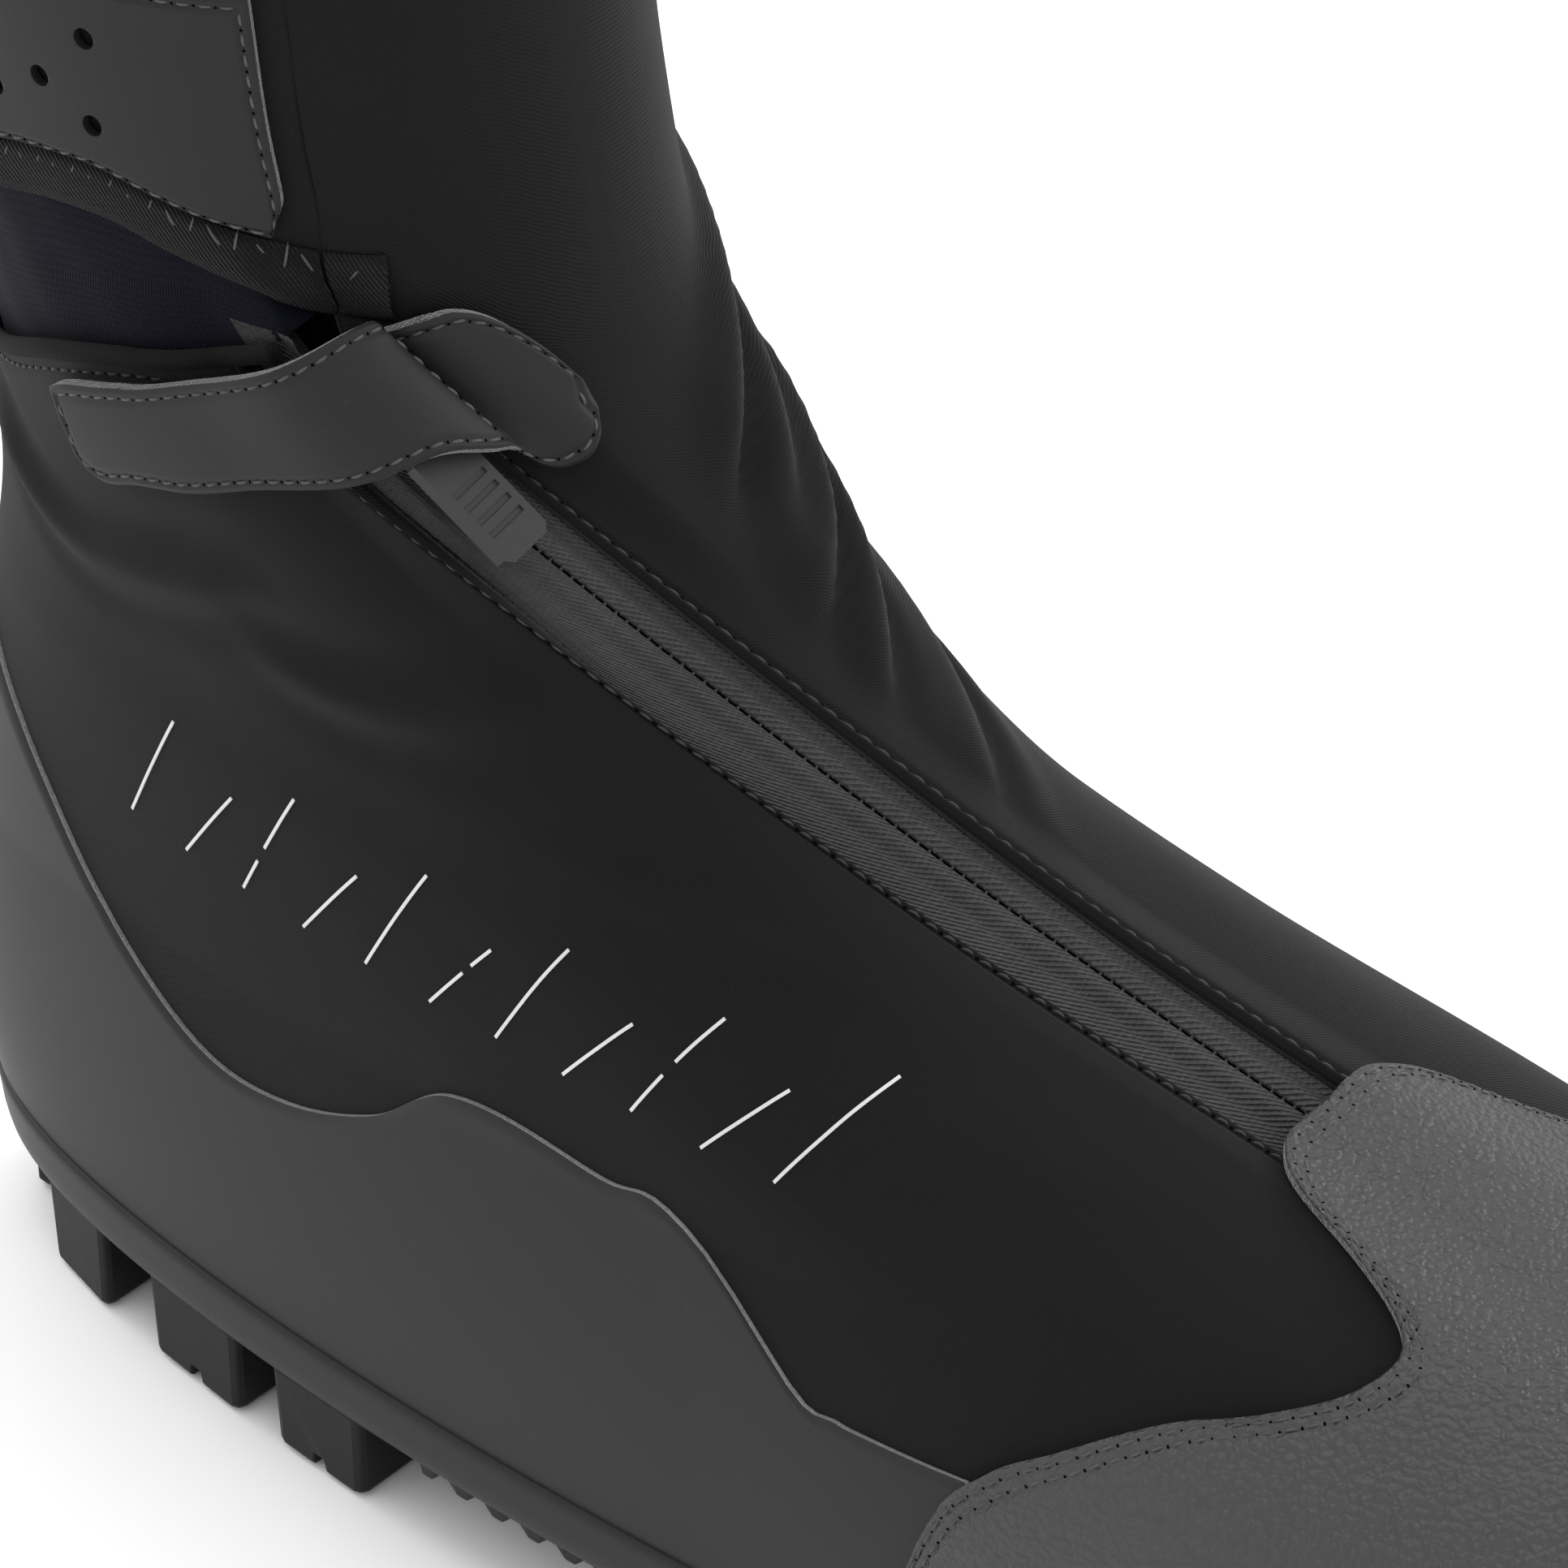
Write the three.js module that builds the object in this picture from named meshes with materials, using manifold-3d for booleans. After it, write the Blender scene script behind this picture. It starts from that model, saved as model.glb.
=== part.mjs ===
// A winter mountain-bike boot for the right foot, in millimetres: +X to the toe, +Z up, -Y the outside of the foot.
import * as THREE from 'three';
import { mergeVertices } from 'three/addons/utils/BufferGeometryUtils.js';
import loadManifold from 'manifold-3d';

const wasm = await loadManifold();
wasm.setup();

// ---------------------------------------------------------------- driving dimensions

// The skin of the upper is a sock of closed loops. A loop has a level, 0 at the sole's edge and 1 at the rim of the
// cuff, and a place on a loop has an angle: 0 at the toe, 90 on the inside, 180 at the heel, -90 on the outside.
const levels = [0, 0.07, 0.16, 0.27, 0.38, 0.5, 0.63, 0.76, 0.88, 1];
const frontX = [292, 295, 286, 255, 210, 166, 129, 103, 95, 93];
const frontZ = [31, 43, 58, 71, 81, 94, 116, 147, 177, 206];
const backX = [-2, -6, -7, -5, 0, 5, 6, 4, 1, 0];
const backZ = [20, 34, 51, 70, 89, 110, 135, 160, 183, 204];
const shaftHalfWidth = [35, 38, 38, 37, 35, 33.5, 34, 36, 38, 40];
// The footprint's half widths and centre line, by the share of its length from heel to toe.
const shares = [0, 0.15, 0.35, 0.5, 0.68, 0.85, 1];
const outerHalfWidth = [34, 35.5, 39.5, 44, 51, 50, 45];
const innerHalfWidth = [34, 34.5, 33, 38, 50, 50, 44];
const centreShares = [0, 0.5, 0.75, 1];
const centreY = [0, 0, 2, 10];

// The zip's centre line is an arc about this axis. A turn of 0 is at zipOrigin and turns grow towards the ankle.
const zipCentre = new THREE.Vector3(241, -115, 233.5);
const zipAxis = new THREE.Vector3(0.135, 0.802, 0.582).normalize();
const zipOrigin = new THREE.Vector3(108.8, -17.3, 129.7);
const zipSlope = 0.35; // the band leans by this much across the zip
const zipCrown = 0.009; // and is crowned by this much per square millimetre
const zipBottomTurn = -33.5;
const zipTopTurn = 12.3;
const sliderTurn = 9.2; // where the closed slider sits
const foldOuter = -7.6; // the two folded edges beside the zip, measured across it
const foldInner = 4.9;

// Layers, as offsets from the skin: [inner face, outer face].
const linerLayer = [-7.2, -4.8];
const linerDip = 5; // the lining runs this much deeper behind the zip
const gussetLayer = [-4.5, -3.6];
const stiffenerLayer = [-3.4, -2.4];
const neopreneLayer = [-3.9, -2.1];
const tapeLayer = [-2.6, -1.9];
const coilLayer = [-2.7, -1.65];
const shellLayer = [-1.4, 0];
const overlayLayer = [0.65, 1.65];
const capLayer = [1.05, 2.05];
const bindingLayer = [-1.4, 0.5];

// The sole.
const plateGap = 0.9; // from the plate's top face to the edge of the upper
const plateThickness = 5.2;
const partGap = 0.3; // clearance kept between pieces that touch
const lugWidth = 13;
const lugCorner = 1.4;
const heelLugs = [[16, 30.5], [40.5, 59], [66, 83]];
const ballLugs = [[157, 173], [183, 199], [209, 225], [235, 250]];
const cleatTravel = 9; // each way from the middle
const nutHalfLength = 13;

// The strap over the ankle.
const strapTunnel = 5.4; // how far its underside stands off the skin over the slider
const strapThickness = 1.4;
const pullerSwing = 12; // degrees that it leans to the outside
const pullerTilt = 9; // degrees that the closed puller stands up from the zip

const colours = {
  softshell: [0x1d1e20, 0.85], rand: [0x2b2c2e, 0.45], cap: [0x303133, 0.55], rubber: [0x161617, 0.7],
  plate: [0x1c1c1e, 0.5], tape: [0x38393b, 0.9], metal: [0x55565a, 0.35], lining: [0x202124, 0.95],
  neoprene: [0x1b1d2a, 0.9], binding: [0x242527, 0.95], hook: [0x141415, 0.95], board: [0x8a8578, 0.9],
  strap: [0x2e2f31, 0.5], stud: [0x6a6b70, 0.35],
};
const metalNames = ['metal', 'stud'];
const materials = Object.fromEntries(Object.entries(colours).map(([name, [color, roughness]]) =>
  [name, new THREE.MeshStandardMaterial({ name, color, roughness, metalness: metalNames.includes(name) ? 1 : 0 })]));

// ---------------------------------------------------------------- curves and the skin

const radians = THREE.MathUtils.degToRad;
const mix = (a, b, t) => a + (b - a) * t;
const clamp = (x) => Math.min(Math.max(x, 0), 1);
const ease = (x) => clamp(x) ** 2 * (3 - 2 * clamp(x));

// A smooth curve through the points (xs, ys), held level beyond its ends.
function through(xs, ys) {
  const last = xs.length - 1;
  const slope = (i) => (ys[i + 1] - ys[i]) / (xs[i + 1] - xs[i]);
  const tangent = xs.map((x, i) => {
    if (i === 0) return slope(0);
    if (i === last) return slope(last - 1);
    const before = xs[i] - xs[i - 1];
    const after = xs[i + 1] - xs[i];
    return (slope(i) * before + slope(i - 1) * after) / (before + after);
  });
  return (x) => {
    const at = Math.min(Math.max(x, xs[0]), xs[last]);
    let i = 0;
    while (i < last - 1 && at > xs[i + 1]) i += 1;
    const span = xs[i + 1] - xs[i];
    const t = (at - xs[i]) / span;
    return (2 * t ** 3 - 3 * t ** 2 + 1) * ys[i] + (t ** 3 - 2 * t ** 2 + t) * span * tangent[i]
      + (3 * t ** 2 - 2 * t ** 3) * ys[i + 1] + (t ** 3 - t ** 2) * span * tangent[i + 1];
  };
}

const front = { x: through(levels, frontX), z: through(levels, frontZ) };
const back = { x: through(levels, backX), z: through(levels, backZ) };
const shaft = through(levels, shaftHalfWidth);
const outerFoot = through(shares, outerHalfWidth);
const innerFoot = through(shares, innerHalfWidth);
const centreLine = through(centreShares, centreY);

// A point of the plain sock: a superellipse loop that slants up from the heel and widens to the footprint low down.
function plainSkin(angle, level) {
  const c = Math.cos(radians(angle));
  const s = Math.sin(radians(angle));
  const power = 2 / (2.55 - 0.4 * clamp(level / 0.6));
  const share = (1 + Math.sign(c) * Math.abs(c) ** power) / 2;
  const arch = (1 - clamp(level / 0.3)) * 4.5 * Math.sin(Math.PI * clamp(share / 0.9));
  const toShaft = ease(level / 0.55);
  const foot = s < 0 ? outerFoot(share) : innerFoot(share);
  const swell = 1 + 0.05 * Math.sin(Math.PI * clamp(level / 0.25));
  const halfWidth = mix(foot, shaft(level), toShaft) * swell;
  return new THREE.Vector3(
    mix(back.x(level), front.x(level), share),
    centreLine(share) * (1 - toShaft) + Math.sign(s) * halfWidth * Math.abs(s) ** power,
    mix(back.z(level), front.z(level), share ** 1.35) - arch,
  );
}

const zipArm = zipOrigin.clone().sub(zipCentre);
zipArm.addScaledVector(zipAxis, -zipArm.dot(zipAxis));
const zipRadius = zipArm.length();
const zipOut = zipArm.clone().normalize();
const zipAlong = zipAxis.clone().cross(zipOut);
const across = (point) => point.clone().sub(zipCentre).dot(zipAxis);
const bandRadius = (h) => zipRadius + zipSlope * h + zipCrown * h * h;

// The skin is the plain sock with the strip beside the zip eased onto one band turned about the zip's axis.
function skin(angle, level) {
  const point = plainSkin(angle, level);
  const h = across(point);
  const arm = point.clone().sub(zipCentre).addScaledVector(zipAxis, -h);
  const radius = arm.length();
  const turn = THREE.MathUtils.radToDeg(Math.atan2(arm.dot(zipAlong), arm.dot(zipOut)));
  const hold = (1 - ease((Math.hypot(h, radius - zipRadius) - 4.5) / 9))
    * ease((turn + 50) / 12) * ease((18 - turn) / 4.5);
  return point.addScaledVector(arm.divideScalar(radius), (bandRadius(h) - radius) * hold);
}

function normalOf(surface, angle, level) {
  const around = surface(angle + 0.4, level).sub(surface(angle - 0.4, level));
  const up = surface(angle, Math.min(level + 0.002, 1)).sub(surface(angle, Math.max(level - 0.002, 0)));
  return around.cross(up).normalize();
}

const offsetFrom = (surface) => (angle, level, offset) =>
  surface(angle, level).addScaledVector(normalOf(surface, angle, level), offset);
const skinAt = offsetFrom(skin);
const plainAt = offsetFrom(plainSkin);

// How far a point lies from the zip's centre line.
function fromZip(point) {
  const h = across(point);
  return Math.hypot(h, point.clone().sub(zipCentre).addScaledVector(zipAxis, -h).length() - zipRadius);
}

// The value between low and high where a rising test first passes.
function search(low, high, passes) {
  let [from, to] = [low, high];
  for (let i = 0; i < 30; i += 1) {
    const middle = (from + to) / 2;
    if (passes(middle)) to = middle;
    else from = middle;
  }
  return (from + to) / 2;
}

// The angle at which a loop comes this far from the zip's centre line, on the outside where the distance is negative.
const zipAngle = (level) => search(-80, 45, (angle) => across(plainSkin(angle, level)) > 0);
function besideZip(level, distance) {
  const middle = zipAngle(level);
  const beyond = (angle) => fromZip(skin(angle, level)) > Math.abs(distance);
  if (distance < 0) return -search(-middle, 60 - middle, (angle) => beyond(-angle));
  return search(middle, middle + 60, beyond);
}

// The level at which the zip's centre line has made this turn.
function levelAtTurn(turn) {
  return search(0.3, 0.85, (level) => {
    const arm = plainSkin(zipAngle(level), level).sub(zipCentre);
    return THREE.MathUtils.radToDeg(Math.atan2(arm.dot(zipAlong), arm.dot(zipOut))) > turn;
  });
}

// A place on the zip band: x down the zip, y across it and z off it, from the slider's place at this turn.
function zipFrame(turn) {
  const out = zipOut.clone().applyAxisAngle(zipAxis, radians(turn));
  const down = zipAxis.clone().cross(out).negate();
  const off = out.clone().negate().addScaledVector(zipAxis, zipSlope).normalize();
  const origin = zipCentre.clone().addScaledVector(out, zipRadius);
  return new THREE.Matrix4().makeBasis(down, off.clone().cross(down), off).setPosition(origin);
}

// ---------------------------------------------------------------- solids

// A closed body from points and triangles, turned so that its faces point out.
function body(points, faces) {
  let volume = 0;
  for (const [a, b, c] of faces) volume += points[a].dot(points[b].clone().cross(points[c]));
  const index = faces.flatMap(([a, b, c]) => (volume < 0 ? [a, c, b] : [a, b, c]));
  const geometry = new THREE.BufferGeometry().setFromPoints(points);
  geometry.setIndex(index);
  return geometry;
}

const root = new THREE.Group();
function add(name, geometry, material) {
  const mesh = new THREE.Mesh(geometry, materials[material]);
  mesh.name = name;
  root.add(mesh);
}

// Rings of equal length joined in order, with both ends closed by a fan or by pairs of opposite points.
function loft(rings, paired = false) {
  const count = rings[0].length;
  const faces = [];
  for (let k = 0; k + 1 < rings.length; k += 1) {
    for (let i = 0; i < count; i += 1) {
      const [a, b] = [k * count + i, k * count + (i + 1) % count];
      faces.push([a, b, b + count], [a, b + count, a + count]);
    }
  }
  const close = (start, flip) => {
    const put = (a, b, c) => faces.push(flip ? [start + a, start + c, start + b] : [start + a, start + b, start + c]);
    if (!paired) for (let i = 1; i + 1 < count; i += 1) put(0, i + 1, i);
    else {
      for (let i = 0; i < count / 2; i += 1) {
        const j = (count - i) % count;
        if (i > 0) put(i, j, i + 1);
        if (i + 1 < count / 2) put(j, j - 1 < 0 ? count - 1 : (j || count) - 1, i + 1);
      }
    }
  };
  close(0, false);
  close((rings.length - 1) * count, true);
  return body(rings.flat(), faces);
}

// A flat outline pushed from z0 to z1, then placed by a matrix.
function prism(outline, z0, z1, matrix = new THREE.Matrix4()) {
  const flat = outline.map(([x, y]) => new THREE.Vector2(x, y));
  if (THREE.ShapeUtils.isClockWise(flat)) flat.reverse();
  const count = flat.length;
  const faces = [];
  for (const [a, b, c] of THREE.ShapeUtils.triangulateShape(flat, [])) {
    faces.push([a, c, b], [count + a, count + b, count + c]);
  }
  for (let i = 0; i < count; i += 1) {
    const j = (i + 1) % count;
    faces.push([i, j, count + j], [i, count + j, count + i]);
  }
  const points = [z0, z1].flatMap((z) => flat.map((p) => new THREE.Vector3(p.x, p.y, z).applyMatrix4(matrix)));
  return body(points, faces);
}

function rectangle(x0, x1, y0, y1) {
  return [[x0, y0], [x1, y0], [x1, y1], [x0, y1]];
}

// A sheet that lies on the skin. angle(s, t) and level(s, t) place it, both over 0 to 1, and the two faces are offsets
// from the skin, as numbers or as functions of angle and level. A ring meets itself after one turn.
function sheet({ angle, level, layer, columns, rows, ring = false, at = skinAt }) {
  const steps = typeof rows === 'number' ? Array.from({ length: rows + 1 }, (_, j) => j / rows) : rows;
  const wide = ring ? columns : columns + 1;
  const tall = steps.length;
  const points = [];
  for (const side of [0, 1]) {
    for (const t of steps) {
      for (let i = 0; i < wide; i += 1) {
        const s = i / columns;
        const a = angle(s, t);
        const l = level(s, t, a);
        const offset = typeof layer === 'function' ? layer(a, l)[side] : layer[side];
        points.push(at(a, l, offset));
      }
    }
  }
  const inner = (i, j) => j * wide + i % wide;
  const outer = (i, j) => wide * tall + inner(i, j);
  const faces = [];
  const quad = (a, b, c, d) => faces.push([a, b, c], [a, c, d]);
  const last = ring ? wide : wide - 1;
  for (let j = 0; j + 1 < tall; j += 1) {
    for (let i = 0; i < last; i += 1) {
      quad(outer(i, j), outer(i + 1, j), outer(i + 1, j + 1), outer(i, j + 1));
      quad(inner(i, j), inner(i, j + 1), inner(i + 1, j + 1), inner(i + 1, j));
    }
  }
  for (let i = 0; i < last; i += 1) {
    quad(inner(i, 0), inner(i + 1, 0), outer(i + 1, 0), outer(i, 0));
    quad(outer(i, tall - 1), outer(i + 1, tall - 1), inner(i + 1, tall - 1), inner(i, tall - 1));
  }
  if (!ring) {
    for (let j = 0; j + 1 < tall; j += 1) {
      quad(inner(0, j), outer(0, j), outer(0, j + 1), inner(0, j + 1));
      quad(outer(last, j), inner(last, j), inner(last, j + 1), outer(last, j + 1));
    }
  }
  return body(points, faces);
}

// Booleans.
function toSolid(geometry) {
  const plain = new THREE.BufferGeometry();
  plain.setAttribute('position', geometry.getAttribute('position').clone());
  plain.setIndex(geometry.index);
  const merged = mergeVertices(plain, 1e-4);
  return new wasm.Manifold(new wasm.Mesh({
    numProp: 3,
    vertProperties: new Float32Array(merged.attributes.position.array),
    triVerts: new Uint32Array(merged.index.array),
  }));
}

function fromSolid(solid) {
  const mesh = solid.getMesh();
  const geometry = new THREE.BufferGeometry();
  geometry.setAttribute('position', new THREE.BufferAttribute(new Float32Array(mesh.vertProperties), 3));
  geometry.setIndex(Array.from(mesh.triVerts));
  return geometry;
}

const cut = (geometry, ...tools) => fromSolid(tools.reduce((s, tool) => s.subtract(toSolid(tool)), toSolid(geometry)));
const join = (geometry, ...others) => fromSolid(others.reduce((s, one) => s.add(toSolid(one)), toSolid(geometry)));

// ---------------------------------------------------------------- sole

// A point of the sole's outline, grown outwards, with the height of the upper's edge there.
function edgePoint(angle, grow, drop) {
  const point = plainSkin(angle, 0);
  const along = plainSkin(angle + 0.4, 0).sub(plainSkin(angle - 0.4, 0)).setZ(0).normalize();
  point.addScaledVector(new THREE.Vector3(along.y, -along.x, 0), grow);
  point.z -= drop;
  return point;
}

const turnAngles = (count) => Array.from({ length: count }, (_, i) => (i * 360) / count);

function outlineSlab(levelsDown, count) {
  return loft(levelsDown.map(([grow, drop]) => turnAngles(count).map((a) => edgePoint(a, grow, drop))), true);
}

// The outline's y on one side at a station x, and the plate's underside there.
function sideAt(x, side) {
  return plainSkin(side * search(0, 180, (angle) => plainSkin(angle * side, 0).x < x), 0);
}

const undersideAt = (x) => sideAt(x, 1).z - plateGap - plateThickness;
const lugFoot = (x) => mix(0, undersideAt(x) - 14, ease((x - 205) / 30));

// The cleat's bed slopes with the ball of the sole.
const cleatX = 200;
const bedSlope = Math.atan2(undersideAt(cleatX + 20) - undersideAt(cleatX - 20), 40);
const bedFrame = new THREE.Matrix4().makeRotationY(-bedSlope)
  .setPosition(cleatX, 2, undersideAt(cleatX) + plateThickness / 2);

function buildPlate() {
  const slab = outlineSlab([[0.4, plateGap], [0.7, plateGap + 2], [0, plateGap + plateThickness]], 72);
  const reach = nutHalfLength + cleatTravel + 2;
  const recess = prism(rectangle(-reach, reach, -15, 15), -0.6, 12, bedFrame);
  const slots = [-7, 7].map((y) => prism(rectangle(-18, 18, y - 3.2, y + 3.2), -12, 3, bedFrame));
  const sockets = [-1, 1].map((side) => studSocket(side));
  return cut(slab, recess, ...slots, ...sockets);
}

const studX = 262;
const studY = (side) => 8 + side * 16;
function studSocket(side) {
  const hole = new THREE.CylinderGeometry(3.1, 3.1, 8, 20).rotateX(Math.PI / 2);
  return hole.translate(studX, studY(side), undersideAt(studX));
}

// A block of tread from the plate down to its foot, with rounded corners and a slight taper.
function lug(x0, x1, side, notched) {
  const stations = [x0, x1].map((x) => sideAt(x, side));
  const inset = (point, depth) => point.y - side * depth;
  const footprint = (shrink) => {
    const [rear, fore] = stations;
    const corners = [
      [x0 + shrink, inset(rear, shrink - 0.3)], [x1 - shrink, inset(fore, shrink - 0.3)],
      [x1 - shrink, inset(fore, lugWidth - shrink)], [x0 + shrink, inset(rear, lugWidth - shrink)],
    ];
    return corners.flatMap(([x, y], i) => {
      const before = corners[(i + 3) % 4];
      const after = corners[(i + 1) % 4];
      const toward = ([px, py]) => {
        const far = Math.hypot(px - x, py - y);
        return [x + ((px - x) / far) * lugCorner, y + ((py - y) / far) * lugCorner];
      };
      const [a, b] = [toward(before), toward(after)];
      return [a, [mix((a[0] + b[0]) / 2, x, 0.4), mix((a[1] + b[1]) / 2, y, 0.4)], b];
    });
  };
  const foot = lugFoot((x0 + x1) / 2);
  const top = footprint(0).map(([x, y]) => new THREE.Vector3(x, y, undersideAt(x) - partGap));
  const low = footprint(0.3).map(([x, y]) => new THREE.Vector3(x, y, foot + 0.8));
  const tread = footprint(0.9).map(([x, y]) => new THREE.Vector3(x, y, foot));
  const block = loft([top, low, tread]);
  if (!notched) return block;
  const middle = (x0 + x1) / 2;
  const edge = sideAt(middle, side).y;
  const notch = prism([[middle - 1.6, -1], [middle + 1.6, -1], [middle + 0.9, 2.2], [middle - 0.9, 2.2]], -3, 3,
    new THREE.Matrix4().makeRotationX(Math.PI / 2).setPosition(0, edge - side * 1.5, foot));
  return cut(block, notch);
}

function heelBackLug() {
  const row = (shrink, z) => {
    const half = 11 - shrink;
    const outline = [[0.5, -half + 3], [-2 + shrink, 0], [0.5, half - 3], [3.5, half], [11 - shrink, half],
      [11 - shrink, -half], [3.5, -half]];
    return outline.map(([x, y]) => new THREE.Vector3(x, y, z(x)));
  };
  return loft([row(0, (x) => undersideAt(Math.max(x, -1)) - partGap), row(0.5, () => 1), row(1.3, () => 0)]);
}

// Ribs across the waist of the sole.
function archPad() {
  const [from, to, ribs] = [93, 150, 9];
  const rings = [];
  for (let i = 0; i <= ribs * 4; i += 1) {
    const x = mix(from, to, i / (ribs * 4));
    const deep = undersideAt(x) - partGap - (i % 4 < 2 ? 3.4 : 2);
    const high = undersideAt(x) - partGap;
    const [outside, inside] = [sideAt(x, -1).y + 0.6, sideAt(x, 1).y - 0.6];
    rings.push([[outside, high], [inside, high], [inside - 0.8, deep], [outside + 0.8, deep]]
      .map(([y, z]) => new THREE.Vector3(x, y, z)));
  }
  return loft(rings);
}

add('outsole_plate', buildPlate(), 'plate');
for (const [side, word] of [[-1, 'outer'], [1, 'inner']]) {
  heelLugs.forEach(([x0, x1], i) => add(`heel_lug_${word}_${i + 1}`, lug(x0, x1, side, i > 0), 'rubber'));
  ballLugs.forEach(([x0, x1], i) => add(`ball_lug_${word}_${i + 1}`, lug(x0, x1, side, i === 1), 'rubber'));
}
add('heel_lug_back', heelBackLug(), 'rubber');
add('arch_grip_pad', archPad(), 'rubber');
for (const [side, word] of [[-1, 'outer'], [1, 'inner']]) {
  const head = new THREE.CylinderGeometry(4.6, 3.4, 5, 6).rotateX(Math.PI / 2);
  const stem = new THREE.CylinderGeometry(2.6, 2.6, 6, 12).rotateX(Math.PI / 2);
  const under = undersideAt(studX);
  head.translate(studX, studY(side), under - 3.4);
  stem.translate(studX, studY(side), under + 0.6);
  add(`toe_stud_${word}`, join(head, stem), 'stud');
}

const nutHoles = [-1, 1].flatMap((i) => [-7, 7].map((y) =>
  new THREE.CylinderGeometry(2.1, 2.1, 8, 12).rotateX(Math.PI / 2).translate(i * 5.5, y, 0).applyMatrix4(bedFrame)));
const nutBlock = prism(rectangle(-nutHalfLength, nutHalfLength, -13, 13), -0.3, 2, bedFrame);
add('cleat_nut_plate', cut(nutBlock, ...nutHoles), 'metal');
add('lasting_board', outlineSlab([[-3.2, -0.2], [-3.2, -1.8]], 60), 'board');
add('insole', outlineSlab([[-8.6, -2.4], [-8.2, -6.4]], 48), 'lining');

// ---------------------------------------------------------------- upper

const outerTop = through([-180, -130, -110, -84, -62], [0.62, 0.66, 0.702, 0.75, 0.787]);
const closing = (level) => ease((level - 0.33) / 0.04);
const outerFold = (level) => mix(zipAngle(level) - 0.6, besideZip(level, foldOuter), closing(level));
const hingeAngle = -49.5;
const innerFold = (level) => mix(mix(zipAngle(level) + 0.6, besideZip(level, foldInner), closing(level)),
  hingeAngle + 0.6, ease((level - 0.77) / 0.03));
const shellTop = 0.985;
const denseLow = [0, 0.025, 0.05, 0.08, 0.115, 0.155, 0.2, 0.26, 0.33, 0.41, 0.5, 0.6, 0.7, 0.8, 0.9, 1];

const linerDepth = (angle, level) => linerLayer.map((face) =>
  face - linerDip * (1 - ease((fromZip(plainSkin(angle, level)) - 7) / 14)));
add('liner_bootie', sheet({
  angle: (s) => s * 360, level: (s, t) => mix(0.04, 0.985, t), at: plainAt,
  layer: linerDepth, columns: 36, rows: [0, 0.05, 0.12, 0.21, 0.31, 0.42, 0.53, 0.64, 0.76, 0.88, 1], ring: true,
}), 'lining');

add('heel_counter', sheet({
  angle: (s) => mix(112, 248, s), level: (s, t) => mix(0.045, 0.3 + 0.12 * Math.sin(Math.PI * s), t),
  layer: stiffenerLayer, columns: 16, rows: 4,
}), 'board');

add('toe_puff', sheet({
  angle: (s) => mix(-62, 62, s), level: (s, t) => mix(0.045, 0.16 + 0.08 * Math.sin(Math.PI * s), t),
  layer: stiffenerLayer, columns: 16, rows: [0, 0.2, 0.45, 0.72, 1],
}), 'board');

add('quarter_outer', sheet({
  angle: (s, t) => mix(-179.5, outerFold(t * 0.787), 1 - (1 - s) ** 1.4),
  level: (s, t, a) => t * (outerTop(a) - 0.0125),
  layer: shellLayer, columns: 30, rows: denseLow,
}), 'softshell');

add('topline_binding', sheet({
  angle: (s) => mix(-179.5, -70, s), level: (s, t, a) => outerTop(a) - mix(0.0095, 0, t),
  layer: bindingLayer, columns: 18, rows: 1,
}), 'binding');

add('front_panel', sheet({
  angle: (s, t) => mix(innerFold(t * shellTop), 179.5, s ** 1.4), level: (s, t) => t * shellTop,
  layer: shellLayer, columns: 32, rows: denseLow,
}), 'softshell');

add('rim_binding', sheet({
  angle: (s) => mix(hingeAngle + 0.6, 179.5, s), level: (s, t) => mix(0.9885, 1, t),
  layer: bindingLayer, columns: 30, rows: 1,
}), 'binding');

add('inner_cuff', sheet({
  angle: (s, t) => mix(-179.5, mix(-82, -66, ease(t * 5 - 0.6)), s),
  level: (s, t, a) => mix(outerTop(a) - 0.05, 0.985, t),
  layer: neopreneLayer, columns: 16, rows: 6,
}), 'neoprene');

// The mudguard: a smooth overlay round the heel with a wavy top edge, ending where the toe cap begins.
const guardTop = through(
  [-180, -148, -135, -126, -117, -111, -104, -97, -90, -85.5, -84.5, -82],
  [0.43, 0.388, 0.318, 0.237, 0.187, 0.19, 0.218, 0.267, 0.262, 0.233, 0.188, 0.172],
);
const capEdge = through([0, 0.1, 0.15], [-83, -80.4, -77.4]);
add('mudguard', sheet({
  angle: (s, t) => { const end = 0.9 - capEdge(t * 0.168); return mix(end, 360 - end, s); },
  level: (s, t, a) => mix(0.008, guardTop(a < 180 ? -a : a - 360), t),
  layer: overlayLayer, columns: 40, rows: 5,
}), 'rand');

// The toe cap, with a blunt tongue over the foot of the zip.
const capTop = through(
  [0, 5, 12.5, 18.5, 23, 31, 41, 51, 60, 68, 73.5, 77.4, 80.4, 83],
  [0.411, 0.411, 0.404, 0.385, 0.355, 0.312, 0.282, 0.26, 0.24, 0.21, 0.183, 0.15, 0.1, 0.03],
);
add('toe_cap', sheet({
  angle: (s) => 81.5 * Math.sin((s - 0.5) * Math.PI) * (1 - 0.12 * Math.cos((s - 0.5) * Math.PI)),
  level: (s, t, a) => mix(0.008, capTop(Math.abs(a)), t),
  layer: capLayer, columns: 32, rows: [0, 0.07, 0.15, 0.24, 0.35, 0.48, 0.65, 0.83, 1],
}), 'cap');

// ---------------------------------------------------------------- zip

const alongZip = (from, to, bottom = zipBottomTurn, top = zipTopTurn) => {
  const [low, high] = [levelAtTurn(bottom), levelAtTurn(top)];
  return {
    angle: (s, t) => besideZip(mix(low, high, t), mix(from, to, s)),
    level: (s, t) => mix(low, high, t),
  };
};

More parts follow.
